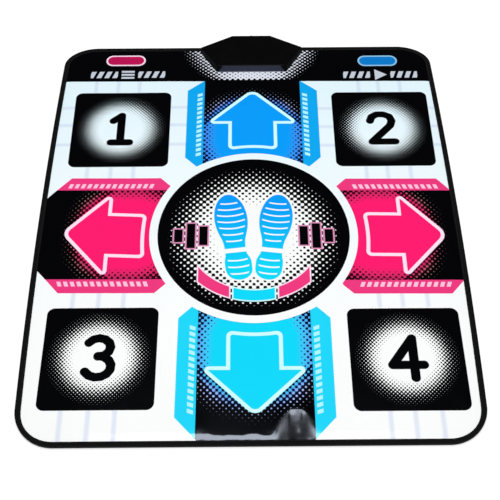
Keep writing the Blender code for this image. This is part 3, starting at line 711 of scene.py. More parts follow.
def near_folds(x, y):
    """Height by the near edge: a wavy roll beside the tape, and a fold that climbs away from it.

    The roll climbs as s w (1 - e^(-out / w)) under a wide bell, with a steepness s and a width w that vary along the
    edge. The fold is a climb that steepens to a bent summit and a smooth fall, under a bell across it. Two low
    swells lie at its foot, and two shallow valleys and a thin ridge run down its face. One more lies at the left end.
    """
    out = np.maximum(y + HALF_LENGTH - 0.0086, 0.0)
    width = 0.0045 + 0.0035 * bell(x, -0.082, 0.018) + 0.0006 * wave(x / 0.031)
    steepness = 0.050 + 0.040 * bell(x, -0.074, 0.018) + 0.020 * bell(x, 0.012, 0.010) - 0.045 * bell(x, 0.070, 0.007)
    steepness = steepness * (1.0 + 0.25 * wave(x / 0.051 + 0.3) + 0.25 * wave(x / 0.019 + 0.1))
    ends = 1.0 - smooth((np.abs(x) - 0.27) / 0.08)
    roll = steepness * width * ends * (1.0 - np.exp(-out / width)) * bell(out, 0.0, 0.05)
    summit = -0.4055 - 0.013 * np.minimum(((x - 0.077) / 0.023) ** 2, 3.0)
    climb = np.clip((y + 0.4615) / (summit + 0.4615), 0.0, 1.0) ** 1.6 * (1.0 - smooth((y - summit) / 0.036))
    feet = there_and_back(out, 0.0, 0.028, 0.035) * (bell(x, 0.055, 0.011) + 0.4 * bell(x, 0.097, 0.010))
    valleys = there_and_back(out, 0.006, 0.038, 0.020) * (bell(x, 0.069, 0.006) + 0.8 * bell(x, 0.0895, 0.006))
    line = there_and_back(out, 0.010, 0.012, 0.020) * bell(x, 0.0795, 0.0026)
    fold = 0.0026 * climb * bell(x, 0.079, 0.030) + 0.00012 * feet - 0.00058 * valleys + 0.00014 * line
    return roll + fold + 0.0004 * there_and_back(out, 0.008, 0.016, 0.030) * bell(x, -0.090, 0.014)


def pinch_width(x, y):
    """How wide the cover's climb from its pinched edge is: narrower, and uneven, below the near arrow."""
    at_column = smooth((-0.394 - y) / 0.014) * (1.0 - smooth((np.abs(x - PRINT_X_MM * MM) - 0.100) / 0.030))
    narrow = 0.0078 + 0.0040 * bell(x, -0.086, 0.022) + 0.0028 * bell(x, 0.004, 0.014) - 0.0025 * bell(x, 0.031, 0.009)
    narrow = narrow + 0.0500 * np.exp(-(((x - 0.075) / 0.030) ** 4))
    narrow = narrow + 0.0011 * wave(x / 0.037 + 0.2) + 0.0007 * wave(x / 0.0163 + 0.6)
    return 0.016 + (narrow - 0.016) * at_column


def relief(x, y, depth):
    """Height of the cover over the flat mat: it puffs over the foam, is pinched at its edge and waves a little."""
    puff = smooth((edge_distance(x, y) - 0.010) / pinch_width(x, y))
    held = smooth((box_distance(x, y) - 0.004) / 0.022)
    waves = 0.16 * wave(x / 0.31 + 0.13) * wave(y / 0.27 + 0.40)
    waves = waves + 0.13 * wave((0.70 * x + 0.90 * y) / 0.19 + 0.25) + 0.10 * wave((0.95 * x - 0.50 * y) / 0.14 + 0.60)
    folds = ridge(x, y, (0.352, -0.380), (0.392, -0.420), 0.55, 0.012)
    folds = folds + ridge(x, y, (-0.330, -0.395), (-0.300, -0.455), 0.40, 0.014)
    return depth * puff * held * (1.0 + waves + folds) + near_folds(x, y)


def points_of(*parts):
    """Rows of coordinates from arrays or single numbers."""
    return np.column_stack([part.ravel() for part in np.broadcast_arrays(*parts)])


def surface(x, y, depth):
    """Points of the cover's upper side."""
    return points_of(x, y, MAT_TOP + relief(x, y, depth))


def even_lines(hard, step):
    """Places of grid lines: each hard line, and even ones between them that are at most a step apart."""
    hard = np.unique(np.round(hard, 6))
    runs = [
        np.linspace(low, high, max(1, math.ceil((high - low) / step - 1e-6)) + 1)[:-1]
        for low, high in zip(hard, hard[1:])
    ]
    return np.append(np.concatenate(runs), hard[-1])


def cells_of(rows, columns):
    """Corners of each cell of a grid of points, counter-clockwise."""
    first = (np.arange(rows - 1)[:, None] * columns + np.arange(columns - 1)).ravel()
    return np.column_stack([first, first + 1, first + columns + 1, first + columns])


def grid_of(xs, ys):
    """A grid of places, its cells and the middles of the cells."""
    x, y = np.meshgrid(xs, ys)
    cells = cells_of(*x.shape)
    return x, y, cells, x.ravel()[cells].mean(axis=1), y.ravel()[cells].mean(axis=1)


def tube_faces(rings, sides):
    """Faces round a run of closed rings of points."""
    start = np.arange(rings - 1)[:, None] * sides
    here = (start + np.arange(sides)).ravel()
    after = (start + (np.arange(sides) + 1) % sides).ravel()
    return np.column_stack([here, after, after + sides, here + sides])


def placed(name, data):
    """An object of the scene at the origin."""
    made = bpy.data.objects.new(name, data)
    bpy.context.scene.collection.objects.link(made)
    return made


def new_mesh(name, points, faces):
    """A mesh object shaded smooth."""
    mesh = bpy.data.meshes.new(name)
    mesh.from_pydata(points, [], faces)
    mesh.validate()
    mesh.shade_smooth()
    return placed(name, mesh)


def dress(piece, material, slot, *stands_for, body="mat", sharp=None):
    """Gives a piece its material, sharp edges and body, and hides the solids that it stands for. The slot is not used.
    """
    if sharp:
        piece.data.set_sharp_from_angle(angle=math.radians(sharp))
    piece.data.materials.append(material)
    if body:
        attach(piece, body)
    if stands_for:
        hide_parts(*stands_for)


def sheet_mesh(name, points, cells, thickness, baked=True):
    """A sheet under a surface: the surface, its copy below and a rim along its free edges.

    Its map for baking gives nearly the whole picture to the upper side, and narrow strips to the lower side and rim.
    """
    kept, index = np.unique(cells, return_inverse=True)
    points, top = points[kept], index.reshape(cells.shape)
    count = len(points)
    edges = np.concatenate([top[:, [i, (i + 1) % 4]] for i in range(4)])
    ordered = np.sort(edges, axis=1)
    _, where, uses = np.unique(ordered[:, 0] * count + ordered[:, 1], return_index=True, return_counts=True)
    free = edges[where[uses == 1]]
    rim = np.column_stack([free[:, 1], free[:, 0], free[:, 0] + count, free[:, 1] + count])
    below = top[:, ::-1]
    piece = new_mesh(name, np.vstack([points, points - (0.0, 0.0, thickness)]), np.vstack([top, below + count, rim]))
    if baked:
        share = (points[:, :2] - points[:, :2].min(axis=0)) / np.ptp(points[:, :2], axis=0)
        across = np.arange(len(rim))[:, None] + np.array([1, 0, 0, 1])
        edge = points_of(across / len(rim), np.array([0.078, 0.078, 0.062, 0.062]))
        flat = [side.reshape(-1, 2) for side in (share[top] * (0.98, 0.90), share[below] * (0.98, 0.04))]
        places = np.vstack([flat[0] + (0.01, 0.09), flat[1] + (0.01, 0.01), edge])
        piece.data.uv_layers.new(name="OFBake").uv.foreach_set("vector", places.astype(np.float32).ravel())
    return piece


def pad_body(name):
    """Name of a pad's or key's body."""
    return name + ("_key" if name in KEYS else "_pad")


def pad_plan(name):
    """The rectangle of a pad's foam: lowest and highest x and y."""
    low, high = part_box(name + "_foam")
    return low[0], high[0], low[1], high[1]


def make_cover(settings, materials):
    """The still parts of the cover: a grid over the mat without the pads, split where the print is plain."""
    splits_x, splits_y = (place * MM + TILE_REACH * np.array([-1, 0, 1]) for place in (PRINT_X_MM, PRINT_Y_MM))
    holes = [pad_plan(name) for name in PADS]
    for side in ("left", "right"):
        x, y, _ = np.mean(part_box("box_screw_front_" + side), axis=0)
        holes.append((x - SCREW_REACH, x + SCREW_REACH, y - SCREW_REACH, y + SCREW_REACH))
    low_x, high_x, low_y, high_y = np.array(holes).T[..., None]
    inset = settings.cover_inset
    wide, long = HALF_WIDTH - inset, HALF_LENGTH - inset
    hard_x = [-wide, wide, *splits_x, *np.arange(-0.0930, 0.0400, 0.0035), *np.arange(0.0400, 0.1080, 0.0017)]
    hard_y = [-long, long, *splits_y, *np.arange(-0.4640, -0.4020, 0.0017)]
    x, y, cells, mid_x, mid_y = grid_of(
        even_lines([*hard_x, *low_x[:, 0], *high_x[:, 0]], settings.cell),
        even_lines([*hard_y, *low_y[:, 0], *high_y[:, 0]], settings.cell),
    )
    still = ~((mid_x > low_x) & (mid_x < high_x) & (mid_y > low_y) & (mid_y < high_y)).any(axis=0)
    points = surface(*to_outline(x, y, inset), settings.puff)
    tiles = TILES[np.searchsorted(splits_y, mid_y), np.searchsorted(splits_x, mid_x)]
    for name in TILE_ORDER:
        chosen = cells[(tiles == name) & still]
        piece = sheet_mesh("cover_" + name, points, chosen, settings.thickness)
        look = materials["middle" if name.startswith("middle") else name]
        dress(piece, look, "printed_vinyl", "top_cover", sharp=60)


def make_pad_tops(settings, materials):
    """A patch on each pad's foam, which rides with the pad's body, and four mitred strips round it between the still
    cover and the patch.
    """
    steps = np.linspace(0.0, 1.0, SLOPE_STEPS + 1)[:, None]
    for name in PADS:
        low_x, high_x, low_y, high_y = pad_plan(name)
        middle_x, middle_y = (low_x + high_x) / 2, (low_y + high_y) / 2
        wide, long = high_x - low_x, high_y - low_y
        strip = settings.key_slope if name in KEYS else settings.pad_slope
        share_x, share_y = (np.linspace(0.0, 1.0, max(4, round(size / settings.cell)) + 1) for size in (wide, long))

        def patch(part, x, y, body=None, flipped=False):
            cells = cells_of(*np.broadcast(x, y).shape)
            points = surface(x, y, settings.puff)
            piece = sheet_mesh(name + part, points, cells[:, ::-1] if flipped else cells, settings.thickness)
            look = materials["glow_" + name if name in SQUARES else name]
            dress(piece, look, SLOT_OF[name + "_face"], name + "_face", body=body, sharp=60)
            return piece

        top_x = low_x + strip + (wide - 2 * strip) * share_x
        top_y = low_y + strip + (long - 2 * strip) * share_y
        piece = patch("_top", *np.meshgrid(top_x, top_y), pad_body(name))
        drawn = strip * steps
        in_x, in_y = drawn + (wide - 2 * drawn) * share_x, drawn + (long - 2 * drawn) * share_y
        for side, x, y, place, (toward_x, toward_y) in (
                ("near", low_x + in_x, low_y + drawn, (middle_x, low_y), (0, 1)),
                ("far", low_x + in_x, high_y - drawn, (middle_x, high_y), (0, -1)),
                ("left", low_x + drawn, low_y + in_y, (low_x, middle_y), (1, 0)),
                ("right", high_x - drawn, low_y + in_y, (high_x, middle_y), (-1, 0))):
            piece = patch("_slope_" + side, x, y, flipped=side in ("far", "left"))
            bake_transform(piece)


def straight_half(end, corner_size):
    """Half length of the straight run at the far (1) or near (-1) end."""
    return HALF_WIDTH - corner_size - bulge(end * HALF_LENGTH)


def outline_path(step):
    """The mat's outline from the right side of the control box round to its left side.

    Gives places, and the share of each place along the far edge: 0 at the corner and 1 at the box.
    """
    (far_x, far_y), (near_x, near_y) = FAR_CORNER, NEAR_CORNER
    turn = np.linspace(0.0, math.pi / 2, 25)[1:]
    far_end, near_end = straight_half(1.0, far_x), straight_half(-1.0, near_x)
    far_share = np.linspace(1.0, 0.0, 46)
    high_y, low_y = HALF_LENGTH - far_y, -HALF_LENGTH + near_y
    swollen = np.vstack([
        points_of(HALF_WIDTH - far_x * (1 - np.sin(turn)), high_y + far_y * np.cos(turn)),
        points_of(HALF_WIDTH, np.linspace(high_y, low_y, round((high_y - low_y) / step))[1:]),
        points_of(HALF_WIDTH - near_x * (1 - np.cos(turn)), low_y - near_y * np.sin(turn)),
    ])
    swollen[:, 0] -= bulge(swollen[:, 1])
    right = np.vstack([
        points_of(BOX_X + (far_end - BOX_X) * (1 - far_share) + 0.09 * far_share, HALF_LENGTH),
        swollen,
        points_of(np.linspace(near_end, 0.0, round(near_end / step))[1:], -HALF_LENGTH),
    ])
    shares = np.concatenate([far_share, np.zeros(len(right) - len(far_share))])
    return np.vstack([right, right[-2::-1] * (-1.0, 1.0)]), np.append(shares, shares[-2::-1])


def directions(path):
    """Unit steps along a path."""
    ahead = np.gradient(path, axis=0)
    return ahead / np.linalg.norm(ahead, axis=1)[:, None]


def run_lengths(path):
    """Length of a path up to each of its points."""
    return np.append(0.0, np.cumsum(np.linalg.norm(np.diff(path, axis=0), axis=1)))


def binding_profile(settings):
    """Closed section of the folded tape as (inset, height): its outside from the top edge round to the lower
    edge, and its inside back."""
    wide, thick = settings.tape_width, settings.tape_thickness
    top, curl = MAT_TOP + TAPE_GAP + thick, 0.0018
    turn = np.radians([90, 112, 135, 158, 180])
    arc = np.column_stack([np.cos(turn), np.sin(turn)])
    upper, lower, inner = (curl, top - curl), (curl, curl), curl - thick
    return np.vstack([
        [(wide, top - 0.45 * thick), (wide - 0.0003, top - 0.1 * thick), (wide - 0.0016, top - 0.02 * thick),
         (wide * 0.72, top - 0.12 * thick), (wide * 0.45, top)],
        arc * curl + upper, arc[::-1] * (1, -1) * curl + lower,
        [(wide * 0.45, 0.0), (wide - 0.0004, 0.0), (wide, 0.3 * thick), (wide, 0.8 * thick), (wide * 0.5, thick)],
        arc * (1, -1) * inner + lower, arc[::-1] * inner + upper,
        [(wide * 0.5, top - thick), (wide - 0.0008, top - thick), (wide, top - 0.8 * thick)],
    ])


def carried(path, shares, profile):
    """A section carried along the outline; near the box the far edge is stretched to end at its slanted side.

    The upper side of the tape narrows to 0.78 of its width towards the near edge.
    """
    narrow = 0.22 * smooth((-path[:, 1:] - 0.40) / 0.06)
    inset = profile[:, 0] * (1.0 - narrow * (profile[:, 1] > 0.0045))
    ahead = directions(path)
    x, y = path[:, :1] + ahead[:, 1:] * inset, path[:, 1:] - ahead[:, :1] * inset
    side, share = np.sign(path[:, :1] - BOX_X), shares[:, None]
    corner = straight_half(1.0, FAR_CORNER[0]) * side
    end = BOX_X + side * (box_half(y) + 0.0008)
    x = np.where(share > 0, corner + (end - corner) * share, x)
    return points_of(x, y, profile[:, 1])


def make_binding(settings, tape, thread):
    """Tape folded round the edge of the mat, with a row of stitches on its upper and lower side."""
    path, shares = outline_path(OUTLINE_STEP)
    profile = binding_profile(settings)
    count, sides = len(path), len(profile)
    ends = [list(range(sides)), list(range((count - 1) * sides, count * sides))[::-1]]
    faces = tube_faces(count, sides)[:, [0, 3, 2, 1]].tolist() + ends
    piece = new_mesh("edge_tape", carried(path, shares, profile), faces)
    lengths, around = run_lengths(path), run_lengths(profile)
    weave = piece.data.attributes.new("weave", "FLOAT_VECTOR", "POINT")
    weave.data.foreach_set("vector", points_of(lengths[:, None], around, 0.0).astype(np.float32).ravel())
    dress(piece, tape, "binding_tape", "edge_binding", sharp=50)
    make_stitches(settings, path, shares, lengths, thread)


def make_stitches(settings, path, shares, lengths, thread):
    """Stitches along the tape: a short bar with tapered ends, repeated every pitch on both sides."""
    places = np.arange(0.006, lengths[-1] - 0.006, settings.stitch_pitch)
    along = np.array([[-1.0, -0.75, 0.0, 0.75, 1.0]]).T * settings.stitch_pitch * 0.36
    lift = np.array([[-0.10, 0.12, 0.20, 0.12, -0.10]]).T * MM
    girth = np.array([[0.10, 0.26, 0.30, 0.26, 0.10]]).T * MM
    turn = np.arange(6) * (math.pi / 3)
    made = []
    for level, up in ((MAT_TOP + TAPE_GAP + settings.tape_thickness - 0.00008, 1.0), (0.00030, -1.0)):
        line = carried(path, shares, np.array([[settings.tape_width - 0.0022, level]]))[:, :2]
        columns = np.hstack([line, np.gradient(line, axis=0)]).T
        x, y, ahead_x, ahead_y = (np.interp(places, lengths, column)[:, None, None] for column in columns)
        size = np.hypot(ahead_x, ahead_y)
        ahead_x, ahead_y, out = ahead_x / size, ahead_y / size, girth * np.cos(turn)
        height = level + up * (lift * 0.5 + girth * 0.6 * np.sin(turn))
        made.append(points_of(
            x + ahead_x * along - ahead_y * out, y + ahead_y * along + ahead_x * out, np.maximum(height, 0.0)))
    points = np.vstack(made)
    rows, columns = len(along), len(turn)
    starts = np.arange(0, len(points), rows * columns)[:, None]
    body = (starts[..., None] + tube_faces(rows, columns)).reshape(-1, 4)
    ends = (starts + np.arange(columns)[::-1]).tolist() + (starts + (rows - 1) * columns + np.arange(columns)).tolist()
    dress(new_mesh("edge_stitches", points, body.tolist() + ends), thread, "binding_tape")


def make_backing(settings, material):
    """The backing under the mat: a sheet inside the tape, notched where the control box stands."""
    inset = settings.tape_width + 0.0004
    wide, long = HALF_WIDTH - inset, HALF_LENGTH - inset
    edge, front_y = BOX_FRONT + BOX_CLEARANCE, BOX_FRONT_Y - BOX_CLEARANCE
    x, y, cells, mid_x, mid_y = grid_of(
        even_lines([-wide, BOX_X - edge, BOX_X + edge, wide], BACKING_CELL),
        even_lines([-long, front_y, long], BACKING_CELL),
    )
    out = np.abs(x - BOX_X)
    wanted = np.maximum(box_half(y), BOX_FRONT) + BOX_CLEARANCE
    share = np.clip((0.25 - out) / (0.25 - edge), 0.0, 1.0)
    pushed = np.where(out <= edge, out * wanted / edge, out + (wanted - edge) * share)
    moved_x = np.where(y > front_y, BOX_X + np.sign(x - BOX_X) * pushed, x)
    points = points_of(*to_outline(moved_x, y, inset), BACKING)
    kept = cells[(np.abs(mid_x - BOX_X) >= edge) | (mid_y <= front_y)]
    piece = sheet_mesh("backing_dressed", points, kept, BACKING, baked=False)
    dress(piece, material, "backing_vinyl", "backing_sheet", sharp=40)


def plain_finish(name, colour, roughness, grain=900.0, depth=0.00003):
    """A finish with fine grain, uneven gloss and a colour that varies a little."""
    look = Finish(name)
    cloud = look.noise(60.0, 3.0)
    shade = look.mixed(cloud, times(colour, 0.88), times(colour, 1.12))
    return look.finished(shade, cloud.scaled(0.16, roughness - 0.08), look.noise(grain), depth)


def box_finish(settings):
    """Moulded plastic with a fine even texture, a little worn on top, and a paler front face that is a painted
    reflection of the pale mat in front of it.
    """
    look = Finish("box_plastic_grained")
    x, y, z = look.apart(look.metres)
    wear = look.noise(30.0, 4.0)
    colour = look.mixed(wear.ramp(0.45, 0.75), settings.box_colour, times(settings.box_colour, 1.7))
    # Mask of the front face, where the colour of the painted reflection goes.
    ends = (abs(x - BOX_X) + (z - MAT_TOP) * 0.75).ramp(BOX_FRONT - 0.0025, BOX_FRONT - 0.0035)
    front = y.ramp(BOX_FRONT_Y + 0.0048, BOX_FRONT_Y + 0.0044) * ends
    return look.finished(
        look.mixed(front, colour, settings.box_front_painted_reflection), wear.scaled(0.14, settings.box_roughness - 0.07),
        look.cells(1500.0), 0.00006, **{"Specular IOR Level": 0.07})


def tape_finish(settings):
    """Woven tape: ribs along it and finer picks across, in the piece's own weave coordinates."""
    look = Finish("woven_tape")
    along, over, _ = look.apart(look.node("Attribute", attribute_name="weave").outputs["Vector"])
    ribs = (along * (TURN / 0.0011)).math("SINE") * (over * (TURN / 0.0009)).math("SINE")
    # The colour follows the ribs of the relief, darker in their low parts: painted shade in the weave's grooves, with
    # noise for an uneven tone.
    shade = (ribs * 0.5 + look.noise(240.0)).ramp(0.1, 1.1)
    colour = look.mixed(shade, times(settings.tape_colour, 0.55), times(settings.tape_colour, 1.5))
    return look.finished(colour, 0.80, ribs.scaled(0.5, 0.5), 0.00010, **{"Specular IOR Level": 0.15})


def backing_finish():
    """Foamed non-slip backing: rows of small round grips on a fine skin."""
    look = Finish("grip_backing")
    x, y = [(value * (TURN / 0.009)).math("COSINE") for value in look.apart(look.metres)[:2]]
    grips = (x * y).ramp(0.35, 0.80)
    # The grips are lighter than the skin between them, following the relief: painted shade between the grips.
    colour = look.mixed(grips, (0.030, 0.030, 0.034), (0.075, 0.075, 0.082))
    return look.finished(colour, grips.scaled(-0.25, 0.85), grips + look.noise(500.0) * 0.15, 0.0004)


def foam_finish():
    """Open foam: a cream body with small cells."""
    look = Finish("open_foam")
    wall = look.cells(900.0).ramp(0.15, 0.75)
    # Each cell is darker towards its middle, where its height is lowest: painted shade in the foam's pores.
    return look.finished(look.mixed(wall, (0.46, 0.44, 0.36), (0.78, 0.76, 0.68)), 0.95, wall, 0.0003)


def film_finish():
    """Contact film: hazy grey plastic with dark printed tracks."""
    look = Finish("tracked_film")
    track = inside((abs((look.apart(look.metres)[0] * 62.0).fraction() - 0.5) - 0.16) * 16.0)
    colour = look.mixed(track, (0.42, 0.44, 0.46), (0.05, 0.05, 0.055))
    return look.finished(colour, track.scaled(0.35, 0.30), look.noise(300.0) + track * 0.5, 0.00005)


def board_finish():
    """Circuit board: green mask with lighter traces in steps, and a slight gloss."""
    look = Finish("traced_board")
    edge = inside(abs(look.cells(260.0, distance="CHEBYCHEV", feature="F2") - 0.62) * 10.0 - 0.5)
    return look.finished(look.mixed(edge, (0.015, 0.16, 0.05), (0.05, 0.34, 0.12)), 0.35, edge, 0.00005)


def steel_finish():
    """Turned steel: fine scratches round a grey metal."""
    look = Finish("turned_steel")
    scratches = look.noise(900.0, 3.0, look.vector("MULTIPLY", look.metres, (1.0, 12.0, 1.0)))
    colour = look.mixed(scratches, (0.50, 0.50, 0.52), (0.68, 0.68, 0.70))
    return look.finished(colour, scratches.scaled(0.2, 0.25), scratches, 0.00002, Metallic=1.0)


def make_spacers(foam):
    """The foam spacer under each pad, as a still mesh with its doubled points merged, in place of its solid."""
    for name in ARROWS + SQUARES:
        node = name + "_spacer"
        grid = bmesh.new()
        grid.from_mesh(frame["nodes"][node].data)
        bmesh.ops.remove_doubles(grid, verts=grid.verts, dist=0.00001)
        mesh = bpy.data.meshes.new(node + "_foam")
        grid.to_mesh(mesh)
        grid.free()
        piece = placed(node + "_foam", mesh)
        dress(piece, foam, "foam", node, body=None)
        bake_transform(piece)


def dress_nodes(finishes):
    """Gives each solid that still shows, or lies hidden inside, the finish of its slot."""
    for name, slot in SLOT_OF.items():
        if slot in finishes:
            node = frame["nodes"][name]
            if not node.material_slots:
                node.data.materials.append(finishes[slot])
            for place in node.material_slots:
                place.material = finishes[slot]


def make_floor(settings):
    """A pale floor that keeps the object's shadow close by and turns to plain white further out."""
    spread = np.linspace(-FLOOR_REACH, FLOOR_REACH, FLOOR_LINES)
    x, y, cells, _, _ = grid_of(spread, spread)
    floor = new_mesh("floor", points_of(x, y, FLOOR_Z), cells)
    look = Finish("floor_pale")
    look.feed(**{"Base Color": settings.floor_colour, "Roughness": 1.0, "Specular IOR Level": 0.0})
    seen = seen_by(look.tree, "Camera", "Glossy", "Transmission")
    near = look.node("AddShader", look.shader.outputs[0], look.node("Emission", Strength=seen * 0.50).outputs[0])
    share = look.measure("LENGTH", look.metres).ramp(0.75, 1.6) * seen
    both = look.node("MixShader", share, near.outputs[0], look.node("Emission", Strength=1.0).outputs[0])
    join(look.tree, both.outputs[0], look.tree.nodes["Material Output"].inputs["Surface"])
    floor.data.materials.append(look.material)


def make_lamp(settings):
    """A large soft lamp high over the near side of the mat."""
    light = bpy.data.lights.new("key", "AREA")
    light.shape, light.size, light.energy = "SQUARE", 1.25, settings.key_power
    placed("key", light).location = (0.0, -0.095, 3.2)


def seen_by(tree, *rays):
    """1 for these kinds of rays."""
    path = add_node(tree, "LightPath")
    return functools.reduce(Number.most, [Number(tree, path.outputs[f"Is {ray} Ray"]) for ray in rays])


def make_world(settings):
    """Surroundings: white to look at, a level light for matt surfaces, and darker overhead in reflections."""
    world = bpy.data.worlds.new("surroundings")
    world.use_nodes = True
    tree = world.node_tree
    seen, glossy = seen_by(tree, "Camera", "Transmission"), seen_by(tree, "Glossy")
    direction = add_node(tree, "SeparateXYZ", add_node(tree, "TexCoord").outputs["Generated"])
    overhead = Number(tree, direction.outputs["Z"]).ramp(0.12, 0.45)
    in_gloss = glossy * overhead.scaled(-0.98, 1.0)
    back = tree.nodes["Background"]
    join(tree, (1.0 - seen.most(glossy)) * settings.fill + seen.most(in_gloss), back.inputs["Strength"])
    join(tree, (1.0, 1.0, 1.0), back.inputs["Color"])
    bpy.context.scene.world = world


def make_camera():
    """The camera that was fitted to the photograph."""
    azimuth, elevation, roll = map(math.radians, CAMERA_ANGLES)
    turn = Matrix.Rotation(azimuth, 3, "Z") @ Matrix.Rotation(math.pi / 2 - elevation, 3, "X")
    data = bpy.data.cameras.new("camera")
    data.lens, data.sensor_width, data.clip_start, data.clip_end = CAMERA_LENS, 36.0, 0.01, 60.0
    camera = placed("camera", data)
    place = Matrix.Translation(Vector(CAMERA_TARGET) + turn.col[2] * CAMERA_DISTANCE)
    camera.matrix_world = place @ (turn @ Matrix.Rotation(roll, 3, "Z")).to_4x4()
    bpy.context.scene.camera = camera


def ink(name, description, colour):
    """A colour that a user may change."""
    return FloatVectorProperty(name=name, description=description, subtype="COLOR", size=3, default=colour)


def metres(name, description, default):
    """A length that a user may change."""
    return FloatProperty(name=name, description=description, default=default, unit="LENGTH")


class DANCEMAT_PG_cover(bpy.types.PropertyGroup):
    """Sizes and gloss of the printed cover."""

    puff: metres("Puff", "Height of the cover over its pinched edge", 0.0009)
    thickness: metres("Thickness", "Thickness of the vinyl", 0.0004)
    cell: metres("Cell", "Size of the cover's faces", 0.0065)
    cover_inset: metres("Inset", "Distance of the cover's edge to the mat's outline", 0.0045)
    pad_slope: metres("Pad slope", "Width of the sloping strip round a pad", 0.014)
    key_slope: metres("Key slope", "Width of the sloping strip round a key", 0.010)
    vinyl_roughness: FloatProperty(name="Roughness", description="Roughness of the vinyl", default=0.13)
    crumple_depth: metres("Crumple", "Depth of the vinyl's fine unevenness", 0.00012)


class DANCEMAT_PG_inks(bpy.types.PropertyGroup):
    """Inks of the print."""

    # Far white is the white field darkened and blued by painted shade of the light falling off towards the far end.
    far_white_painted_shade: ink("Far white", "White field by the control box", (0.765, 0.920, 0.985))
    near_white: ink("Near white", "White field by the player", (0.950, 0.965, 0.960))
    track: ink("Track", "Contact tracks under the white", (0.600, 0.680, 0.860))
    black: ink("Black", "Black ink", (0.0006, 0.0006, 0.0011))
    disc_white: ink("Disc white", "White of the round print", (0.930, 0.950, 0.940))
    blue: ink("Blue", "Far arrow", (0.0010, 0.327, 0.945))
    band_blue: ink("Band blue", "Bands of the far arrow", (0.0030, 0.385, 0.870))
    cyan: ink("Cyan", "Near arrow", (0.0030, 0.678, 0.940))
    band_cyan: ink("Band cyan", "Bands of the near arrow", (0.0120, 0.670, 0.940))
    blue_line: ink("Blue line", "Line round the blue arrows", (0.620, 0.980, 1.000))
    blue_dash: ink("Blue dash", "Dashes on the blue bands", (0.450, 0.900, 0.970))
    pink: ink("Pink", "Side arrows", (0.985, 0.010, 0.155))
    side_pink: ink("Side pink", "Bands of the side arrows", (0.850, 0.040, 0.210))
    pink_line: ink("Pink line", "Line round the pink arrows", (0.970, 0.750, 0.900))
    pink_dash: ink("Pink dash", "Dashes on the pink bands", (0.920, 0.550, 0.740))
    bar_line: ink("Bar line", "Line round the level bars", (0.720, 0.280, 0.480))
    dull_blue: ink("Dull blue", "Blue where dots begin", (0.060, 0.250, 0.880))
    pale_blue: ink("Pale blue", "Outermost blue dots", (0.460, 0.500, 0.700))
    dull_cyan: ink("Dull cyan", "Cyan where dots begin", (0.100, 0.400, 0.950))
    pale_cyan: ink("Pale cyan", "Outermost cyan dots", (0.450, 0.550, 0.900))
    ground_blue: ink("Ground blue", "Between blue dots", (0.0010, 0.0030, 0.055))
    dull_pink: ink("Dull pink", "Pink where dots begin", (0.520, 0.024, 0.115))
    pale_pink: ink("Pale pink", "Outermost pink dots", (0.330, 0.180, 0.170))
    ground_pink: ink("Ground pink", "Between pink dots", (0.050, 0.0008, 0.008))
    key_pink: ink("Key pink", "Left key", (0.486, 0.006, 0.085))
    key_blue: ink("Key blue", "Right key", (0.003, 0.193, 0.593))
    key_blue_line: ink("Key blue line", "Line round the right key", (0.280, 0.560, 0.800))
    mark: ink("Mark", "Signs under the keys", (0.560, 0.610, 0.700))
    halo: ink("Halo", "Dots round the control box", (0.760, 0.800, 0.900))


class DANCEMAT_PG_trim(bpy.types.PropertyGroup):
    """Sizes and colours of the bound edge and the control box."""

    tape_width: metres("Tape width", "Width of the tape on each side", 0.011)
    tape_thickness: metres("Tape thickness", "Thickness of the tape", 0.0007)
    stitch_pitch: metres("Stitch pitch", "Distance between stitches", 0.0042)
    tape_colour: ink("Tape", "Woven tape", (0.0020, 0.0020, 0.0024))
    thread_colour: ink("Thread", "Stitches", (0.010, 0.010, 0.011))
    box_colour: ink("Box", "Plastic of the control box", (0.0008, 0.0008, 0.0010))
    # The paler front is a painted reflection of the pale mat in front of the box.
    box_front_painted_reflection: ink("Box front", "Paler front face of the control box", (0.036, 0.041, 0.068))
    box_roughness: FloatProperty(name="Box roughness", description="Roughness of the box's plastic", default=0.42)


class DANCEMAT_PG_stage(bpy.types.PropertyGroup):
    """Light and floor."""

    key_power: FloatProperty(name="Key power", description="Power of the large lamp", default=62.0, unit="POWER")
    fill: FloatProperty(name="Fill", description="Strength of the surrounding light", default=0.49)
    floor_colour: ink("Floor", "Colour of the floor", (0.60, 0.60, 0.60))


class DANCEMAT_OT_cover(bpy.types.Operator):
    """Makes the printed cover and the pads that sink into it"""

    bl_idname = "dance_mat.cover"
    bl_label = "Printed cover and pads"

    def execute(self, context):
        settings = context.scene.dance_mat_cover
        materials = print_materials(context.scene.dance_mat_inks, settings)
        make_cover(settings, materials)
        make_pad_tops(settings, materials)
        return {"FINISHED"}


class DANCEMAT_OT_edge(bpy.types.Operator):
    """Makes the bound edge with its stitches, and the backing"""

    bl_idname = "dance_mat.edge"
    bl_label = "Bound edge and backing"

    def execute(self, context):
        settings = context.scene.dance_mat_trim
        thread = plain_finish("thread", settings.thread_colour, 0.8, grain=2500.0, depth=0.00005)
        make_binding(settings, tape_finish(settings), thread)
        make_backing(settings, backing_finish())
        return {"FINISHED"}


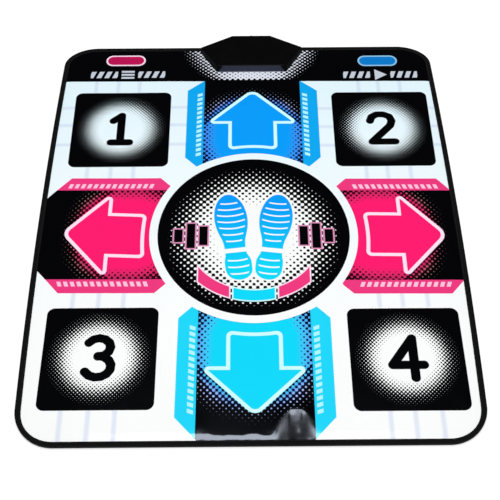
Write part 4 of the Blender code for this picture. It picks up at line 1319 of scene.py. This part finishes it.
class DANCEMAT_OT_box(bpy.types.Operator):
    """Gives the control box and everything inside the mat their finishes"""

    bl_idname = "dance_mat.box"
    bl_label = "Control box and inner parts"

    def execute(self, context):
        foam = foam_finish()
        make_spacers(foam)
        dress_nodes({
            "box_plastic": box_finish(context.scene.dance_mat_trim),
            "grommet_rubber": plain_finish("grommet_rubber_matt", (0.018, 0.018, 0.018), 0.85, grain=1400.0),
            "screw_steel": steel_finish(),
            "board_green": board_finish(),
            "chip_black": plain_finish("chip_resin", (0.020, 0.020, 0.022), 0.55, grain=3000.0),
            "header_cream": plain_finish("header_nylon", (0.80, 0.77, 0.65), 0.5, grain=1500.0),
            "conductive_film": film_finish(),
            "foam": foam,
            "printed_vinyl": foam,
        })
        return {"FINISHED"}


class DANCEMAT_OT_stage(bpy.types.Operator):
    """Makes the floor, the lamp, the surroundings and the camera"""

    bl_idname = "dance_mat.stage"
    bl_label = "Stage"

    def execute(self, context):
        settings = context.scene.dance_mat_stage
        make_floor(settings)
        make_lamp(settings)
        make_world(settings)
        make_camera()
        context.scene.view_settings.view_transform = "Standard"
        return {"FINISHED"}


class DANCEMAT_PT_panel(bpy.types.Panel):
    """Lists the steps that dress the mat"""

    bl_label = "Dance mat"
    bl_idname = "DANCEMAT_PT_panel"
    bl_space_type = "VIEW_3D"
    bl_region_type = "UI"
    bl_category = "Dance mat"

    def draw(self, context):
        for operator in OPERATORS:
            self.layout.operator(operator.bl_idname)


OPERATORS = (DANCEMAT_OT_cover, DANCEMAT_OT_edge, DANCEMAT_OT_box, DANCEMAT_OT_stage)
GROUPS = {
    "dance_mat_cover": DANCEMAT_PG_cover,
    "dance_mat_inks": DANCEMAT_PG_inks,
    "dance_mat_trim": DANCEMAT_PG_trim,
    "dance_mat_stage": DANCEMAT_PG_stage,
}
CLASSES = (*GROUPS.values(), *OPERATORS, DANCEMAT_PT_panel)


def register():
    for made in CLASSES:
        bpy.utils.register_class(made)
    for name, group in GROUPS.items():
        setattr(bpy.types.Scene, name, PointerProperty(type=group))


def unregister():
    for name in GROUPS:
        delattr(bpy.types.Scene, name)
    for made in reversed(CLASSES):
        bpy.utils.unregister_class(made)


def main():
    """Runs every step in order."""
    register()
    bpy.ops.dance_mat.cover()
    bpy.ops.dance_mat.edge()
    bpy.ops.dance_mat.box()
    bpy.ops.dance_mat.stage()


if __name__ == "__main__":
    main()
